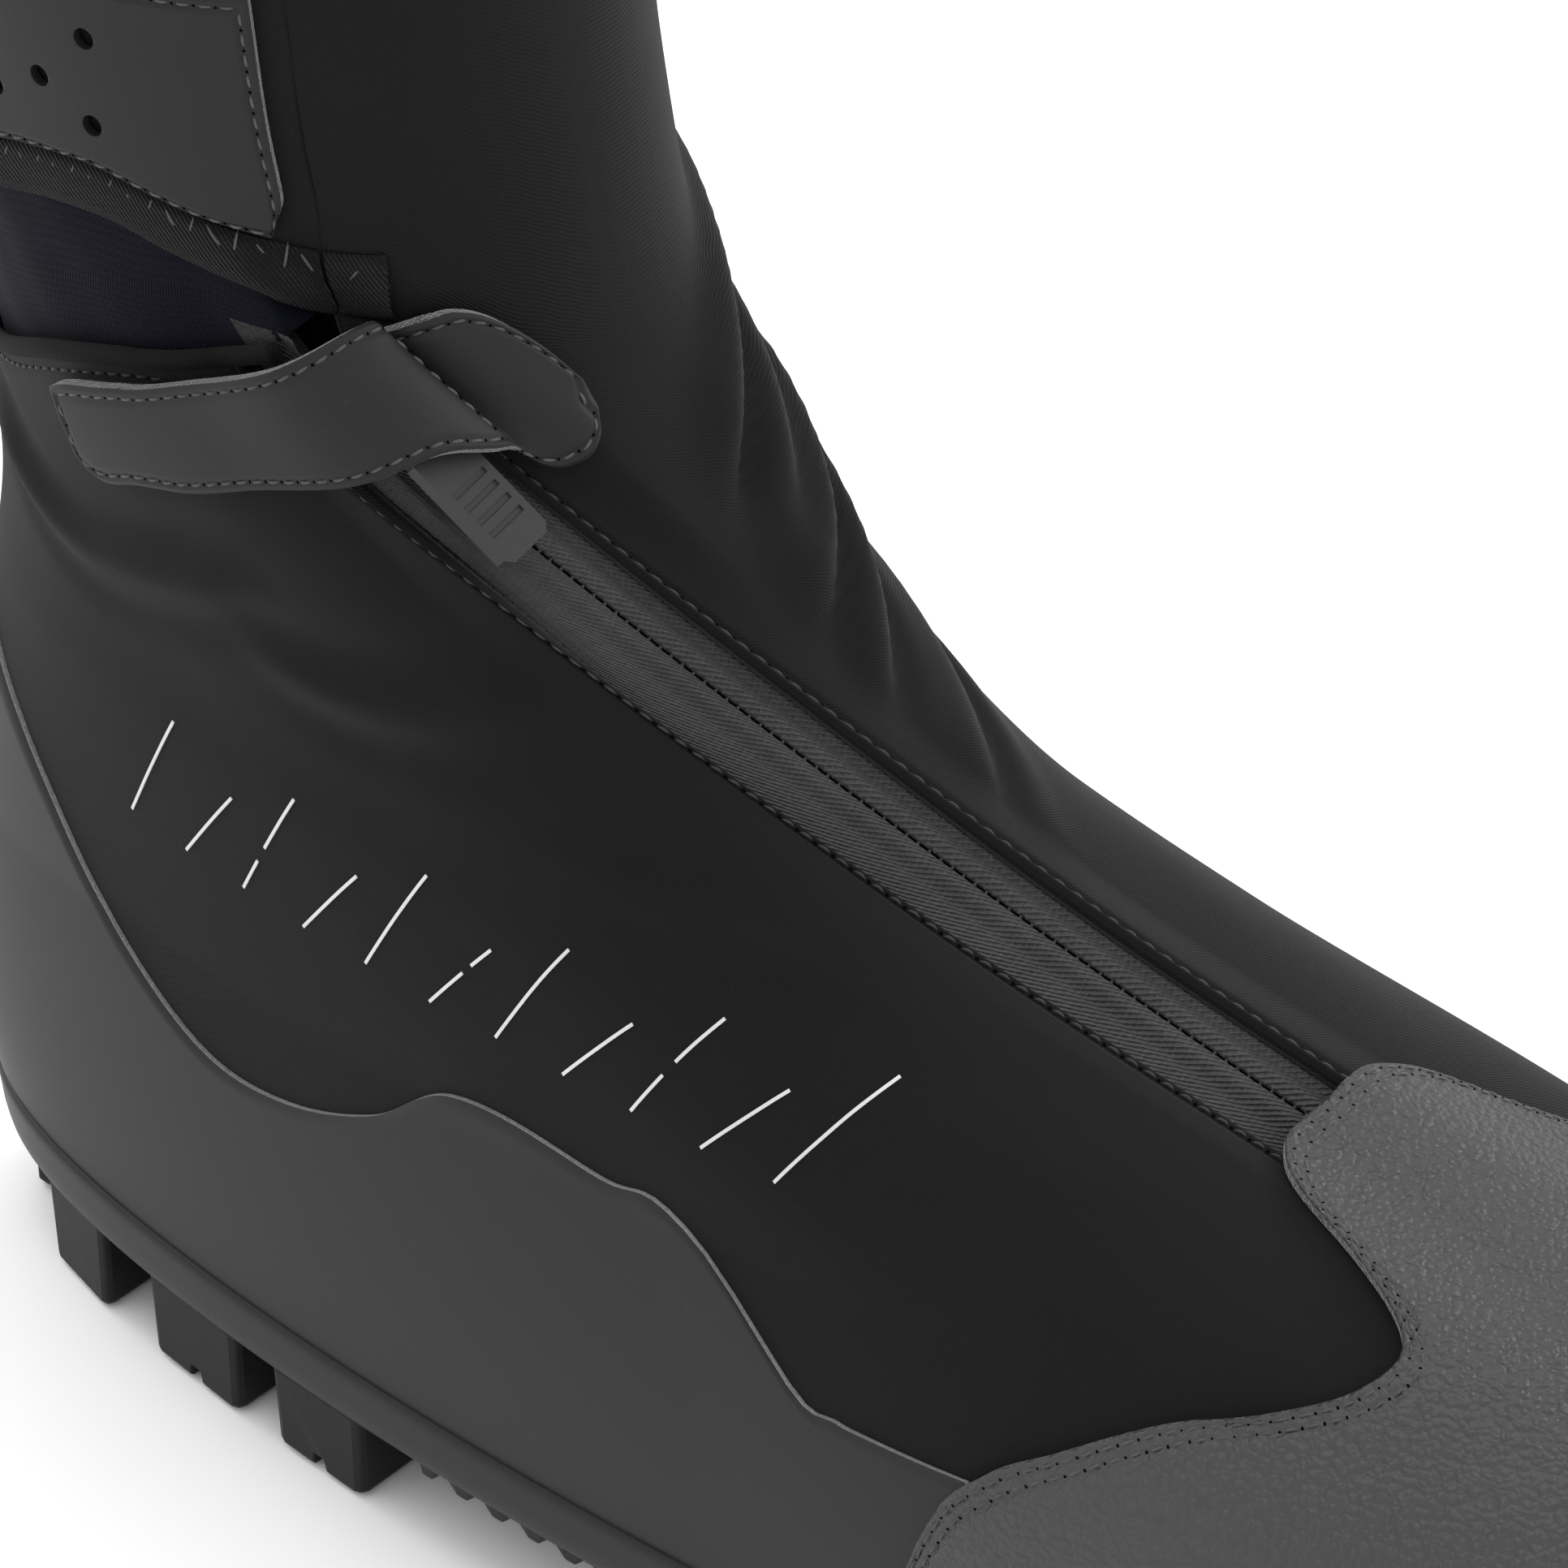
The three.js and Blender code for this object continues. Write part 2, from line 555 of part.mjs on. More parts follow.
add('zip_gusset', sheet({ ...alongZip(-10.5, 9.5), layer: gussetLayer, columns: 6, rows: 22 }), 'softshell');
add('zip_tape_outer', sheet({ ...alongZip(-10, -1.3), layer: tapeLayer, columns: 3, rows: 22 }), 'tape');
add('zip_tape_inner', sheet({ ...alongZip(1.3, 8), layer: tapeLayer, columns: 3, rows: 22 }), 'tape');
add('zip_coil_outer', sheet({ ...alongZip(-1, -0.15), layer: coilLayer, columns: 1, rows: 22 }), 'rubber');
add('zip_coil_inner', sheet({ ...alongZip(0.15, 1), layer: coilLayer, columns: 1, rows: 22 }), 'rubber');

const stop = (turn) => prism(rectangle(-1.5, 1.5, -2.6, 2.6), -1.35, -0.2, zipFrame(turn));
add('zip_bottom_stop', stop(zipBottomTurn + 1.2), 'metal');
add('zip_top_stop', stop(zipTopTurn - 0.8), 'metal');

const sliderFrame = zipFrame(sliderTurn);
const sliderOutline = [[-5, -2.6], [-2.5, -3.1], [3.2, -3.9], [5, -3.3], [5.5, -1.5], [5.5, 1.5], [5, 3.3], [3.2, 3.9],
  [-2.5, 3.1], [-5, 2.6]];
const bridgeOutline = [[-3.4, 0.55], [-3.4, 2.1], [-2.4, 2.9], [3, 2.9], [3.9, 2.1], [3.9, 0.55], [3, 0.55], [3, 2],
  [2.6, 2.2], [-0.1, 2.2], [-0.4, 1.9], [-0.4, 0.55]];
const onEdge = new THREE.Matrix4().makeRotationX(Math.PI / 2);
add('zip_slider', join(
  prism(sliderOutline, -1.25, 0.75, sliderFrame),
  prism(bridgeOutline, -1.1, 1.1, sliderFrame.clone().multiply(onEdge)),
), 'metal');

// The puller: a wire bail through the slider's bridge and a soft grip moulded round its end.
const pullerFrame = sliderFrame.clone().multiply(new THREE.Matrix4().makeTranslation(1.2, 0, 1.5))
  .multiply(new THREE.Matrix4().makeRotationZ(radians(-pullerSwing)))
  .multiply(new THREE.Matrix4().makeRotationY(radians(-pullerTilt)));
const bailHole = prism(rectangle(0.5, 6.2, -1.7, 1.7), -2, 2, pullerFrame);
add('puller_bail', cut(prism(rectangle(-0.5, 7.2, -2.9, 2.9), -0.45, 0.45, pullerFrame), bailHole), 'metal');
const bailPocket = cut(
  prism(rectangle(3, 7.35, -3.05, 3.05), -0.6, 0.6, pullerFrame),
  prism(rectangle(0.5, 6.05, -1.55, 1.55), -2, 2, pullerFrame),
);
const gripOutline = [[4.4, -3.1], [5.4, -3.8], [20, -3.8], [21, -2.9], [21, 2.9], [20, 3.8], [5.4, 3.8], [4.4, 3.1]];
const gripRibs = [11, 13, 15, 17].map((x) => prism(rectangle(x - 0.4, x + 0.4, -2.8, 2.8), 0.7, 2, pullerFrame));
add('puller_grip', cut(prism(gripOutline, -1, 1, pullerFrame), bailPocket, ...gripRibs), 'rubber');

// ---------------------------------------------------------------- ankle strap

// The strap is sewn down inside a slanting seam beside the zip and lies over the slider to a patch on the outside.
// Its edges run from the seam (0) to the rounded free end (1), as [angle, level].
const strapStops = [0, 0.13, 0.35, 0.6, 0.82, 0.94, 1];
const strapEdge = {
  lowAngle: through(strapStops, [-29, -36, -50, -72, -95, -105, -108.5]),
  lowLevel: through(strapStops, [0.744, 0.739, 0.733, 0.706, 0.66, 0.643, 0.656]),
  highAngle: through(strapStops, [-43.5, -48, -58, -75, -94, -104, -108.5]),
  highLevel: through(strapStops, [0.804, 0.799, 0.786, 0.756, 0.717, 0.697, 0.684]),
};
const strapLift = through([0, 0.07, 0.2, 0.42, 0.62, 1], [0.95, 4.1, strapTunnel, 3.7, 2.3, 2.1]);

function onStrap(s, t, from, to, offset) {
  const along = mix(from, to, s);
  const angle = mix(strapEdge.lowAngle(along), strapEdge.highAngle(along), t);
  const level = mix(strapEdge.lowLevel(along), strapEdge.highLevel(along), t);
  return skinAt(angle, level, offset(along));
}

// A piece that follows the strap's own length, as wide as the strap between two shares of its width.
function strapPiece(from, to, lowShare, highShare, layer, columns) {
  const rings = [];
  for (let i = 0; i <= columns; i += 1) {
    const s = i / columns;
    const place = (t, face) => onStrap(s, t, from, to, (along) => layer(along)[face]);
    const rows = [0, 0.5, 1].map((t) => mix(lowShare, highShare, t));
    rings.push([...rows.map((t) => place(t, 0)), ...rows.reverse().map((t) => place(t, 1))]);
  }
  return loft(rings);
}

const strapFaces = (along) => [strapLift(along), strapLift(along) + strapThickness];
add('ankle_strap', strapPiece(0.015, 1, 0, 1, strapFaces, 30), 'strap');
add('strap_hook_patch', strapPiece(0.66, 0.96, 0.14, 0.86, () => [1.15, 1.8], 8), 'hook');
add('strap_loop_patch', strapPiece(0.64, 0.97, 0.06, 0.94, () => [0.3, 0.85], 9), 'hook');

const anchorStops = [0, 0.3, 0.6, 0.85, 1];
const anchorEdge = {
  lowAngle: through(anchorStops, [-28.2, -24, -19.5, -15.5, -13.5]),
  lowLevel: through(anchorStops, [0.7435, 0.7395, 0.7395, 0.745, 0.758]),
  highAngle: through(anchorStops, [-42.4, -34.5, -26, -18.5, -14.2]),
  highLevel: through(anchorStops, [0.806, 0.813, 0.8075, 0.789, 0.772]),
};
add('strap_anchor', sheet({
  angle: (s, t) => mix(anchorEdge.lowAngle(1 - s), anchorEdge.highAngle(1 - s), t),
  level: (s, t) => mix(anchorEdge.lowLevel(1 - s), anchorEdge.highLevel(1 - s), t),
  layer: [0.9, 0.9 + strapThickness], columns: 10, rows: 3,
}), 'strap');

// ---------------------------------------------------------------- cuff flap

const flapLow = through([-172, -130, -106, -94, -84, -76, -67, -57, -50],
  [0.797, 0.8, 0.81, 0.822, 0.827, 0.822, 0.816, 0.813, 0.812]);
const flapEnd = -172;
const flapLift = (angle) => 2.2 * ease((-angle - 95) / 30);
const flapLayer = (inner, outer) => (angle) => [inner + flapLift(angle), outer + flapLift(angle)];

add('cuff_flap', sheet({
  angle: (s) => mix(flapEnd, hingeAngle - 0.5, s), level: (s, t, a) => mix(flapLow(a), shellTop, t),
  layer: flapLayer(...shellLayer), columns: 24, rows: [0, 0.07, 0.14, 0.26, 0.45, 0.7, 1],
}), 'softshell');

add('cuff_flap_binding', sheet({
  angle: (s) => mix(flapEnd, hingeAngle - 0.5, s), level: (s, t, a) => flapLow(a) + mix(0, 0.024, t),
  layer: flapLayer(0.7, 1.2), columns: 24, rows: 2,
}), 'binding');

add('cuff_flap_rim', sheet({
  angle: (s) => mix(flapEnd, hingeAngle - 0.5, s), level: (s, t) => mix(0.9885, 1, t),
  layer: flapLayer(-1.4, 0.4), columns: 20, rows: 1,
}), 'binding');

const panelLow = (angle) => flapLow(angle) + 0.03 + 0.012 * ease((angle + 58) / 3.5);
const cuffPanel = sheet({
  angle: (s) => mix(-150, -54.5, s), level: (s, t, a) => mix(panelLow(a), 0.975, t),
  layer: flapLayer(0.75, 1.65), columns: 16, rows: 3,
});
// Vent holes in staggered rows, as [level, angle].
const ventRadius = 1.35;
const ventRows = [[0.937, -80.5], [0.883, -82], [0.903, -89], [0.932, -95], [0.883, -97.5], [0.906, -104.5],
  [0.934, -111], [0.885, -113]];
const vents = ventRows.map(([level, angle]) => {
  const hole = new THREE.CylinderGeometry(ventRadius, ventRadius, 6, 8);
  const turned = new THREE.Quaternion().setFromUnitVectors(new THREE.Vector3(0, 1, 0), normalOf(skin, angle, level));
  const place = skinAt(angle, level, 0.85);
  return hole.applyQuaternion(turned).translate(place.x, place.y, place.z);
});
add('cuff_vent_panel', cut(cuffPanel, ...vents), 'strap');

add('cuff_hook_patch', sheet({
  angle: (s) => mix(-166, -130, s), level: (s, t) => mix(0.83, 0.955, t),
  layer: [-0.25, 0.5], columns: 8, rows: 2,
}), 'hook');
add('cuff_loop_patch', sheet({
  angle: (s) => mix(-170, -126, s), level: (s, t) => mix(0.815, 0.965, t),
  layer: [-1.4, -0.6], columns: 9, rows: 3,
}), 'hook');

// ---------------------------------------------------------------- heel pull loop

const loopStand = 9.5;
const loopBand = 1.5;
const loopHalfWidth = 6;
const loopFoot = skinAt(180, 0.58, 0.95);
const loopMiddle = skinAt(180, 0.65, 0.95);
const loopHead = skinAt(180, 0.72, 0.95);
// The band's outline in the middle plane of the heel, its back against the heel and its front bowed out by reach.
const loopOutline = (reach, inset) => [
  [loopFoot.x - inset, loopFoot.z + inset * 2], [loopMiddle.x - inset, loopMiddle.z],
  [loopHead.x - inset, loopHead.z - inset * 2], [loopHead.x - reach * 0.2 - inset, loopHead.z - inset * 2],
  [loopMiddle.x - reach * 0.85, loopHead.z - 5 - inset], [loopMiddle.x - reach, loopMiddle.z],
  [loopMiddle.x - reach * 0.85, loopFoot.z + 5 + inset], [loopFoot.x - reach * 0.2 - inset, loopFoot.z + inset * 2],
];
add('heel_pull_loop', cut(
  prism(loopOutline(loopStand, 0), -loopHalfWidth, loopHalfWidth, onEdge),
  prism(loopOutline(loopStand - loopBand, loopBand), -loopHalfWidth - 1, loopHalfWidth + 1, onEdge),
), 'binding');

// ---------------------------------------------------------------- the part's frame: over the origin, standing on z = 0

const bounds = new THREE.Box3().setFromObject(root);
root.position.set(-(bounds.min.x + bounds.max.x) / 2, -(bounds.min.y + bounds.max.y) / 2, -bounds.min.z);
export default root;
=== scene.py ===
# A winter mountain-bike boot for the right foot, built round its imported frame.
import math

import bpy
import numpy as np
from mathutils import Matrix, Vector


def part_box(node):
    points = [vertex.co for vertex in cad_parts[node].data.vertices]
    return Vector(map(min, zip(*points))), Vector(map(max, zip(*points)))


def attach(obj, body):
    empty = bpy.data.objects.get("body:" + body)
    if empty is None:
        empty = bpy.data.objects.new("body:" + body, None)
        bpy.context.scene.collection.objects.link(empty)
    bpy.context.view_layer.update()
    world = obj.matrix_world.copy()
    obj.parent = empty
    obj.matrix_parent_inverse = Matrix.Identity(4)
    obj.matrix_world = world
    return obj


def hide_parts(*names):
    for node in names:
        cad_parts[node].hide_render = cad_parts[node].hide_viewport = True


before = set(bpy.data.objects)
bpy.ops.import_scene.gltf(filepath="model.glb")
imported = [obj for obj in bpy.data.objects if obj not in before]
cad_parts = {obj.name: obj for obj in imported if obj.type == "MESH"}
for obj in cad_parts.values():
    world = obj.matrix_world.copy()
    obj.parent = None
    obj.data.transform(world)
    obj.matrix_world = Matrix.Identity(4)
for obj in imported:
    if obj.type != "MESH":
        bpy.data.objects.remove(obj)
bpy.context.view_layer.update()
lowBack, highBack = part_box("heel_lug_back")
shift = np.array([lowBack.x * 1000 + 2, (lowBack.y + highBack.y) * 500, 0])  # from the drawing's millimetres
print("frame loaded", [round(v, 4) for v in shift])


# ---- curves and the skin of the boot ----

def mix(a, b, t):
    return a + (b - a) * t


def unit(vectors):
    return vectors / np.linalg.norm(vectors, axis=-1)[..., None]


def runningLength(path):
    return np.concatenate([[0], np.cumsum(np.linalg.norm(np.diff(path, axis=0), axis=1))])


def gridLengths(grid):
    # running lengths along the rows and up the columns
    stepU = np.linalg.norm(np.diff(grid, axis=1), axis=-1)
    stepV = np.linalg.norm(np.diff(grid, axis=0), axis=-1)
    alongRows = np.concatenate([np.zeros((len(grid), 1)), np.cumsum(stepU, 1)], 1)
    return alongRows, np.concatenate([np.zeros((1, grid.shape[1])), np.cumsum(stepV, 0)], 0)


def ease(t):
    # three t squared less two t cubed, held at 0 and 1
    t = np.clip(t, 0, 1)
    return t * t * (3 - 2 * t)


def through(xs, ys):
    # cubic pieces through the stops, each inner slope the mean of its neighbours' slopes, flat beyond the ends
    xs, ys = np.asarray(xs, float), np.asarray(ys, float)
    span = np.diff(xs)
    rise = np.diff(ys) / span
    slope = np.empty(len(xs))
    slope[0], slope[-1] = rise[0], rise[-1]
    slope[1:-1] = (rise[1:] * span[:-1] + rise[:-1] * span[1:]) / (span[:-1] + span[1:])

    def curve(x):
        x = np.clip(np.asarray(x, float), xs[0], xs[-1])
        i = np.clip(np.searchsorted(xs, x, side="right") - 1, 0, len(xs) - 2)
        t = (x - xs[i]) / span[i]
        return ((2 * t**3 - 3 * t**2 + 1) * ys[i] + (t**3 - 2 * t**2 + t) * span[i] * slope[i]
                + (3 * t**2 - 2 * t**3) * ys[i + 1] + (t**3 - t**2) * span[i] * slope[i + 1])
    return curve


bootShape = {
    "levels": [0, .07, .16, .27, .38, .5, .63, .76, .88, 1],
    "frontX": [292, 295, 286, 255, 210, 166, 129, 103, 95, 93],
    "frontZ": [31, 43, 58, 71, 81, 94, 116, 147, 177, 206],
    "backX": [-2, -6, -7, -5, 0, 5, 6, 4, 1, 0],
    "backZ": [20, 34, 51, 70, 89, 110, 135, 160, 183, 204],
    "shaftHalf": [35, 38, 38, 37, 35, 33.5, 34, 36, 38, 40],
    "shares": [0, .15, .35, .5, .68, .85, 1],
    "outerHalf": [34, 35.5, 39.5, 44, 51, 50, 45],
    "innerHalf": [34, 34.5, 33, 38, 50, 50, 44],
    "centreShares": [0, .5, .75, 1],
    "centreY": [0, 0, 2, 10],
}
shape = {key: through(bootShape["levels"], bootShape[key])
         for key in ("frontX", "frontZ", "backX", "backZ", "shaftHalf")}
shape["outerFoot"] = through(bootShape["shares"], bootShape["outerHalf"])
shape["innerFoot"] = through(bootShape["shares"], bootShape["innerHalf"])
shape["centreLine"] = through(bootShape["centreShares"], bootShape["centreY"])

zipLine = {
    "centre": np.array([241, -115, 233.5]),
    "axis": np.array([.135, .802, .582]) / np.linalg.norm([.135, .802, .582]),
    "origin": np.array([108.8, -17.3, 129.7]),
    "slope": .35, "crown": .009, "bottomTurn": -33.5, "topTurn": 12.3,
    "foldOuter": -7.6, "foldInner": 4.9,
}
zipArm = zipLine["origin"] - zipLine["centre"]
zipArm = zipArm - zipLine["axis"] * (zipArm @ zipLine["axis"])
zipRadius = float(np.linalg.norm(zipArm))
zipOut = zipArm / zipRadius
zipAlong = np.cross(zipLine["axis"], zipOut)


def plainSkin(angle, level):
    # a superellipse loop at each level, from the heel's x to the toe's x, wide as the footprint low down and
    # as the shaft higher up, rising from the heel to the toe with the loop's own slant
    angle, level = np.broadcast_arrays(np.asarray(angle, float), np.asarray(level, float))
    c, s = np.cos(np.radians(angle)), np.sin(np.radians(angle))
    power = 2 / (2.55 - .4 * np.clip(level / .6, 0, 1))
    share = (1 + np.sign(c) * np.abs(c) ** power) / 2
    arch = (1 - np.clip(level / .3, 0, 1)) * 4.5 * np.sin(np.pi * np.clip(share / .9, 0, 1))
    toShaft = ease(level / .55)
    foot = np.where(s < 0, shape["outerFoot"](share), shape["innerFoot"](share))
    swell = 1 + .05 * np.sin(np.pi * np.clip(level / .25, 0, 1))
    half = mix(foot, shape["shaftHalf"](level), toShaft) * swell
    x = mix(shape["backX"](level), shape["frontX"](level), share)
    y = shape["centreLine"](share) * (1 - toShaft) + np.sign(s) * half * np.abs(s) ** power
    z = mix(shape["backZ"](level), shape["frontZ"](level), share ** 1.35) - arch
    return np.stack([x, y, z], -1)


def aroundZip(points):
    # distance along the zip's axis, the arm from the axis, its length, and its turn in degrees
    across = (points - zipLine["centre"]) @ zipLine["axis"]
    arm = points - zipLine["centre"] - across[..., None] * zipLine["axis"]
    radius = np.linalg.norm(arm, axis=-1)
    turn = np.degrees(np.arctan2(arm @ zipAlong, arm @ zipOut))
    return across, arm, radius, turn


def skin(angle, level):
    # the plain skin, eased beside the zip onto a band whose radius is a square curve of the distance across
    points = plainSkin(angle, level)
    across, arm, radius, turn = aroundZip(points)
    band = zipRadius + zipLine["slope"] * across + zipLine["crown"] * across**2
    hold = (1 - ease((np.hypot(across, radius - zipRadius) - 4.5) / 9)) \
        * ease((turn + 50) / 12) * ease((18 - turn) / 4.5)
    return points + arm / radius[..., None] * ((band - radius) * hold)[..., None]


def normals(surface, angle, level):
    # the cross product of the steps round and up the surface, at length one
    around = surface(angle + .4, level) - surface(angle - .4, level)
    up = surface(angle, np.minimum(level + .002, 1)) - surface(angle, np.maximum(level - .002, 0))
    out = np.cross(around, up)
    return unit(out)


def fromZip(points):
    across, _, radius, _ = aroundZip(points)
    return np.hypot(across, radius - zipRadius)


def search(low, high, passes):
    # halves each span thirty times, towards where the rising test first passes
    low, high = np.array(low, float), np.array(high, float)
    for _ in range(30):
        middle = (low + high) / 2
        good = passes(middle)
        high = np.where(good, middle, high)
        low = np.where(good, low, middle)
    return (low + high) / 2


def zipAngle(level):
    start = np.full(np.shape(level), -80.0)
    return search(start, start + 125, lambda angle: aroundZip(plainSkin(angle, level))[0] > 0)


def calmSkin(angle, level):
    # the plain skin plus the zip's easing, averaged over neighbours ninety times so that no ridge is left
    plain = plainSkin(angle, level)
    eased = skin(angle, level) - plain
    for _ in range(90):
        padded = np.pad(eased, ((1, 1), (1, 1), (0, 0)), mode="edge")
        eased = (padded[2:, 1:-1] + padded[:-2, 1:-1] + padded[1:-1, 2:] + padded[1:-1, :-2]) / 4
    return plain + eased


def besideZip(level, distance):
    # the angle at which a loop comes this far from the zip's line, on the outside where the distance is negative
    level, distance = np.broadcast_arrays(np.asarray(level, float), np.asarray(distance, float))
    middle = zipAngle(level)
    side = np.where(distance < 0, -1.0, 1.0)
    reach = search(np.zeros(level.shape), np.full(level.shape, 60.0),
                   lambda r: fromZip(skin(middle + side * r, level)) > np.abs(distance))
    return middle + side * reach


def levelAtTurn(turn):
    return float(search(.3, .85, lambda level: aroundZip(plainSkin(zipAngle(level), level))[3] > turn))


# ---- folds and hollows of the soft upper ----

drape = {
    # each crease: level at angle 0, rise of its level per degree, depth, reach in degrees from and to
    "instep": [(.690, .00150, 2.2, -2, 62), (.663, .00095, 1.5, 8, 60), (.634, .00090, 2.4, -2, 62),
               (.598, .00095, 1.5, 0, 60), (.541, .00085, 1.2, 4, 58)],
    "side": [([-150, -141, -123, -104, -85], [.60, .577, .55, .573, .627], 1.3),
             ([-100, -92, -77, -55, -48], [.55, .553, .573, .617, .63], .9),
             ([-72, -59, -47, -38], [.50, .50, .50, .505], .7)],
}


def folds(angle, level):
    # each crease is a narrow hollow with a round swell above it and a lower swell beneath, faded at both ends
    height = np.zeros(np.broadcast(angle, level).shape)
    for base, rise, depth, first, last in drape["instep"]:
        away = level - base - rise * angle
        window = ease((angle - first) / 16) * ease((last + 20 - angle) / 34)
        height += window * depth * 1.25 * (.95 * np.exp(-((away - .021) / .016) ** 2)
                                    - .75 * np.exp(-(away / .0075) ** 2)
                                    + .35 * np.exp(-((away + .018) / .014) ** 2))
    for angles, levels, depth in drape["side"]:
        line = through(angles, levels)(angle)
        away = level - line
        window = ease((angle - angles[0]) / 14) * ease((angles[-1] - angle) / 14)
        height += window * depth * (np.exp(-(away / .014) ** 2) - .6 * np.exp(-((away - .03) / .016) ** 2)
                                    - .5 * np.exp(-((away + .028) / .015) ** 2))
    # a slow uneven ripple all over the cloth
    height += .22 * np.sin(angle * .09 + level * 17) * np.sin(level * 31 - angle * .05)
    return height


def softSwell(angle, level):
    # folds fade out beside the zip, under the overlays and at the rim
    points = skin(angle, level)
    beside = ease((fromZip(points) - 6.5) / 9)
    low = ease((level - np.where(angle < 0, .40 - .1 * np.clip((angle + 90) / 90, 0, 1), .42)) / .06)
    return folds(angle, level) * beside * low * ease((.975 - level) / .03)


# ---- meshes ----

def toMetres(points):
    return (points + shift) / 1000


def addObject(name, data):
    item = bpy.data.objects.new(name, data)
    bpy.context.scene.collection.objects.link(item)
    return item


def linkMesh(name, points, quads, uv=None, kinds=None, looks=(), smooth=True):
    # points in millimetres, quads as rows of point numbers (a repeated number makes a triangle)
    mesh = bpy.data.meshes.new(name)
    rows = [tuple(dict.fromkeys(q)) for q in quads.tolist()] if len(quads) and \
        (quads[:, 2] == quads[:, 3]).any() else quads.tolist()
    mesh.from_pydata(toMetres(points).tolist(), [], rows)
    if uv is not None:
        layer = mesh.uv_layers.new(name="cloth")
        corner = np.empty(len(mesh.loops), np.int32)
        mesh.loops.foreach_get("vertex_index", corner)
        layer.data.foreach_set("uv", uv[corner].astype(np.float32).ravel())
    for look in looks:
        mesh.materials.append(look)
    if kinds is not None:
        mesh.polygons.foreach_set("material_index", np.asarray(kinds, np.int32))
    mesh.polygons.foreach_set("use_smooth", np.full(len(mesh.polygons), smooth))
    mesh.update()
    return addObject(name, mesh)


def volumeSign(points, quads):
    a, b, c, d = (points[quads[:, k]] for k in range(4))
    middle = points.mean(0)
    return np.sign(np.einsum("ij,ij->i", a - middle, np.cross(b - middle, c - middle)).sum()
                   + np.einsum("ij,ij->i", a - middle, np.cross(c - middle, d - middle)).sum())


def shell(outer, inner, ring=False):
    # two grids of equal size joined round their rims: points, quads, kinds (0 outer, 1 rim, 2 inner), lengths
    tall, wide = outer.shape[:2]
    points = np.concatenate([outer.reshape(-1, 3), inner.reshape(-1, 3)])
    j, i = np.meshgrid(np.arange(tall - 1), np.arange(wide if ring else wide - 1), indexing="ij")
    nextI = (i + 1) % wide
    face = np.stack([j * wide + i, j * wide + nextI, (j + 1) * wide + nextI, (j + 1) * wide + i], -1).reshape(-1, 4)
    back = face[:, ::-1] + tall * wide
    rims = []
    columns = np.arange(wide if ring else wide - 1)
    for row, flip in ((0, False), (tall - 1, True)):
        a, b = row * wide + columns, row * wide + (columns + 1) % wide
        wall = np.stack([a + tall * wide, b + tall * wide, b, a], -1)
        rims.append(wall[:, ::-1] if flip else wall)
    if not ring:
        rowsUp = np.arange(tall - 1)
        for column, flip in ((0, False), (wide - 1, True)):
            a, b = rowsUp * wide + column, (rowsUp + 1) * wide + column
            wall = np.stack([a, b, b + tall * wide, a + tall * wide], -1)
            rims.append(wall[:, ::-1] if flip else wall)
    rim = np.concatenate(rims)
    quads = np.concatenate([face, back, rim])
    kinds = np.concatenate([np.zeros(len(face)), np.full(len(back), 2), np.ones(len(rim))]).astype(int)
    if volumeSign(points, quads) < 0:
        quads = quads[:, ::-1]
    u, v = gridLengths(outer)
    u = u - u[:, [wide // 2]]
    uv = np.stack([u, v], -1).reshape(-1, 2) / 100  # a unit of the map is 100 mm
    return points, quads, kinds, np.concatenate([uv, uv])


def edgeDistances(grid):
    # millimetres from each side of the grid, measured along its lines: left, right, bottom, top
    left, bottom = gridLengths(grid)
    return left, left[:, [-1]] - left, bottom, bottom[[-1]] - bottom


def soften(item, rounding, steps, sharpFrom):
    bevel = item.modifiers.new("soft edge", "BEVEL")
    bevel.width = rounding / 1000
    bevel.segments = steps
    bevel.limit_method = "ANGLE"
    bevel.angle_limit = math.radians(sharpFrom)


def finishPiece(piece, body, nodes=(), rounding=0, steps=2):
    if rounding:
        soften(piece, rounding, steps, 50)
    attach(piece, body)
    if nodes:
        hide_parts(*nodes)
    return piece


def layer(name, angle, level, top, thick, looks, body, slotName, nodes=(), rounding=.3, surface=skin, ring=False,
          relief=None):
    # a sheet on the skin: its face stands top off the skin, plus relief of its distances from the edges
    base = surface(angle, level)
    out = normals(surface, angle, level)
    top = np.broadcast_to(np.asarray(top, float), angle.shape).copy()
    if relief is not None:
        top += relief(*edgeDistances(base))
    outer = base + out * top[..., None]
    inner = base + out * (top - thick)[..., None]
    points, quads, kinds, uv = shell(outer, inner, ring)
    slots = kinds if len(looks) > 1 else np.zeros(len(kinds), int)
    slots = np.where(slots == 2, 0, slots)
    piece = linkMesh(name, points, quads, uv, slots, looks)
    finishPiece(piece, body, nodes, rounding)
    return piece, outer, out


def insetPath(grid, out, side, depth, trimStart=None, trimEnd=None):
    # the line that runs depth millimetres inside one side of a grid, found by walking each cross line
    if side in ("left", "right"):
        grid, out = grid.transpose(1, 0, 2), out.transpose(1, 0, 2)
        side = {"left": "bottom", "right": "top"}[side]
    if side == "top":
        grid, out = grid[::-1], out[::-1]
    left, right, bottom, _ = edgeDistances(grid)
    row = np.clip((bottom < depth).sum(0) - 1, 0, len(grid) - 2)
    columns = np.arange(grid.shape[1])
    near, far = bottom[row, columns], bottom[row + 1, columns]
    t = np.clip((depth - near) / np.maximum(far - near, 1e-9), 0, 1)[:, None]
    path = grid[row, columns] * (1 - t) + grid[row + 1, columns] * t
    normal = out[row, columns] * (1 - t) + out[row + 1, columns] * t
    keep = (left[row, columns] >= (depth if trimStart is None else trimStart)) \
        & (right[row, columns] >= (depth if trimEnd is None else trimEnd))
    return path[keep], normal[keep]


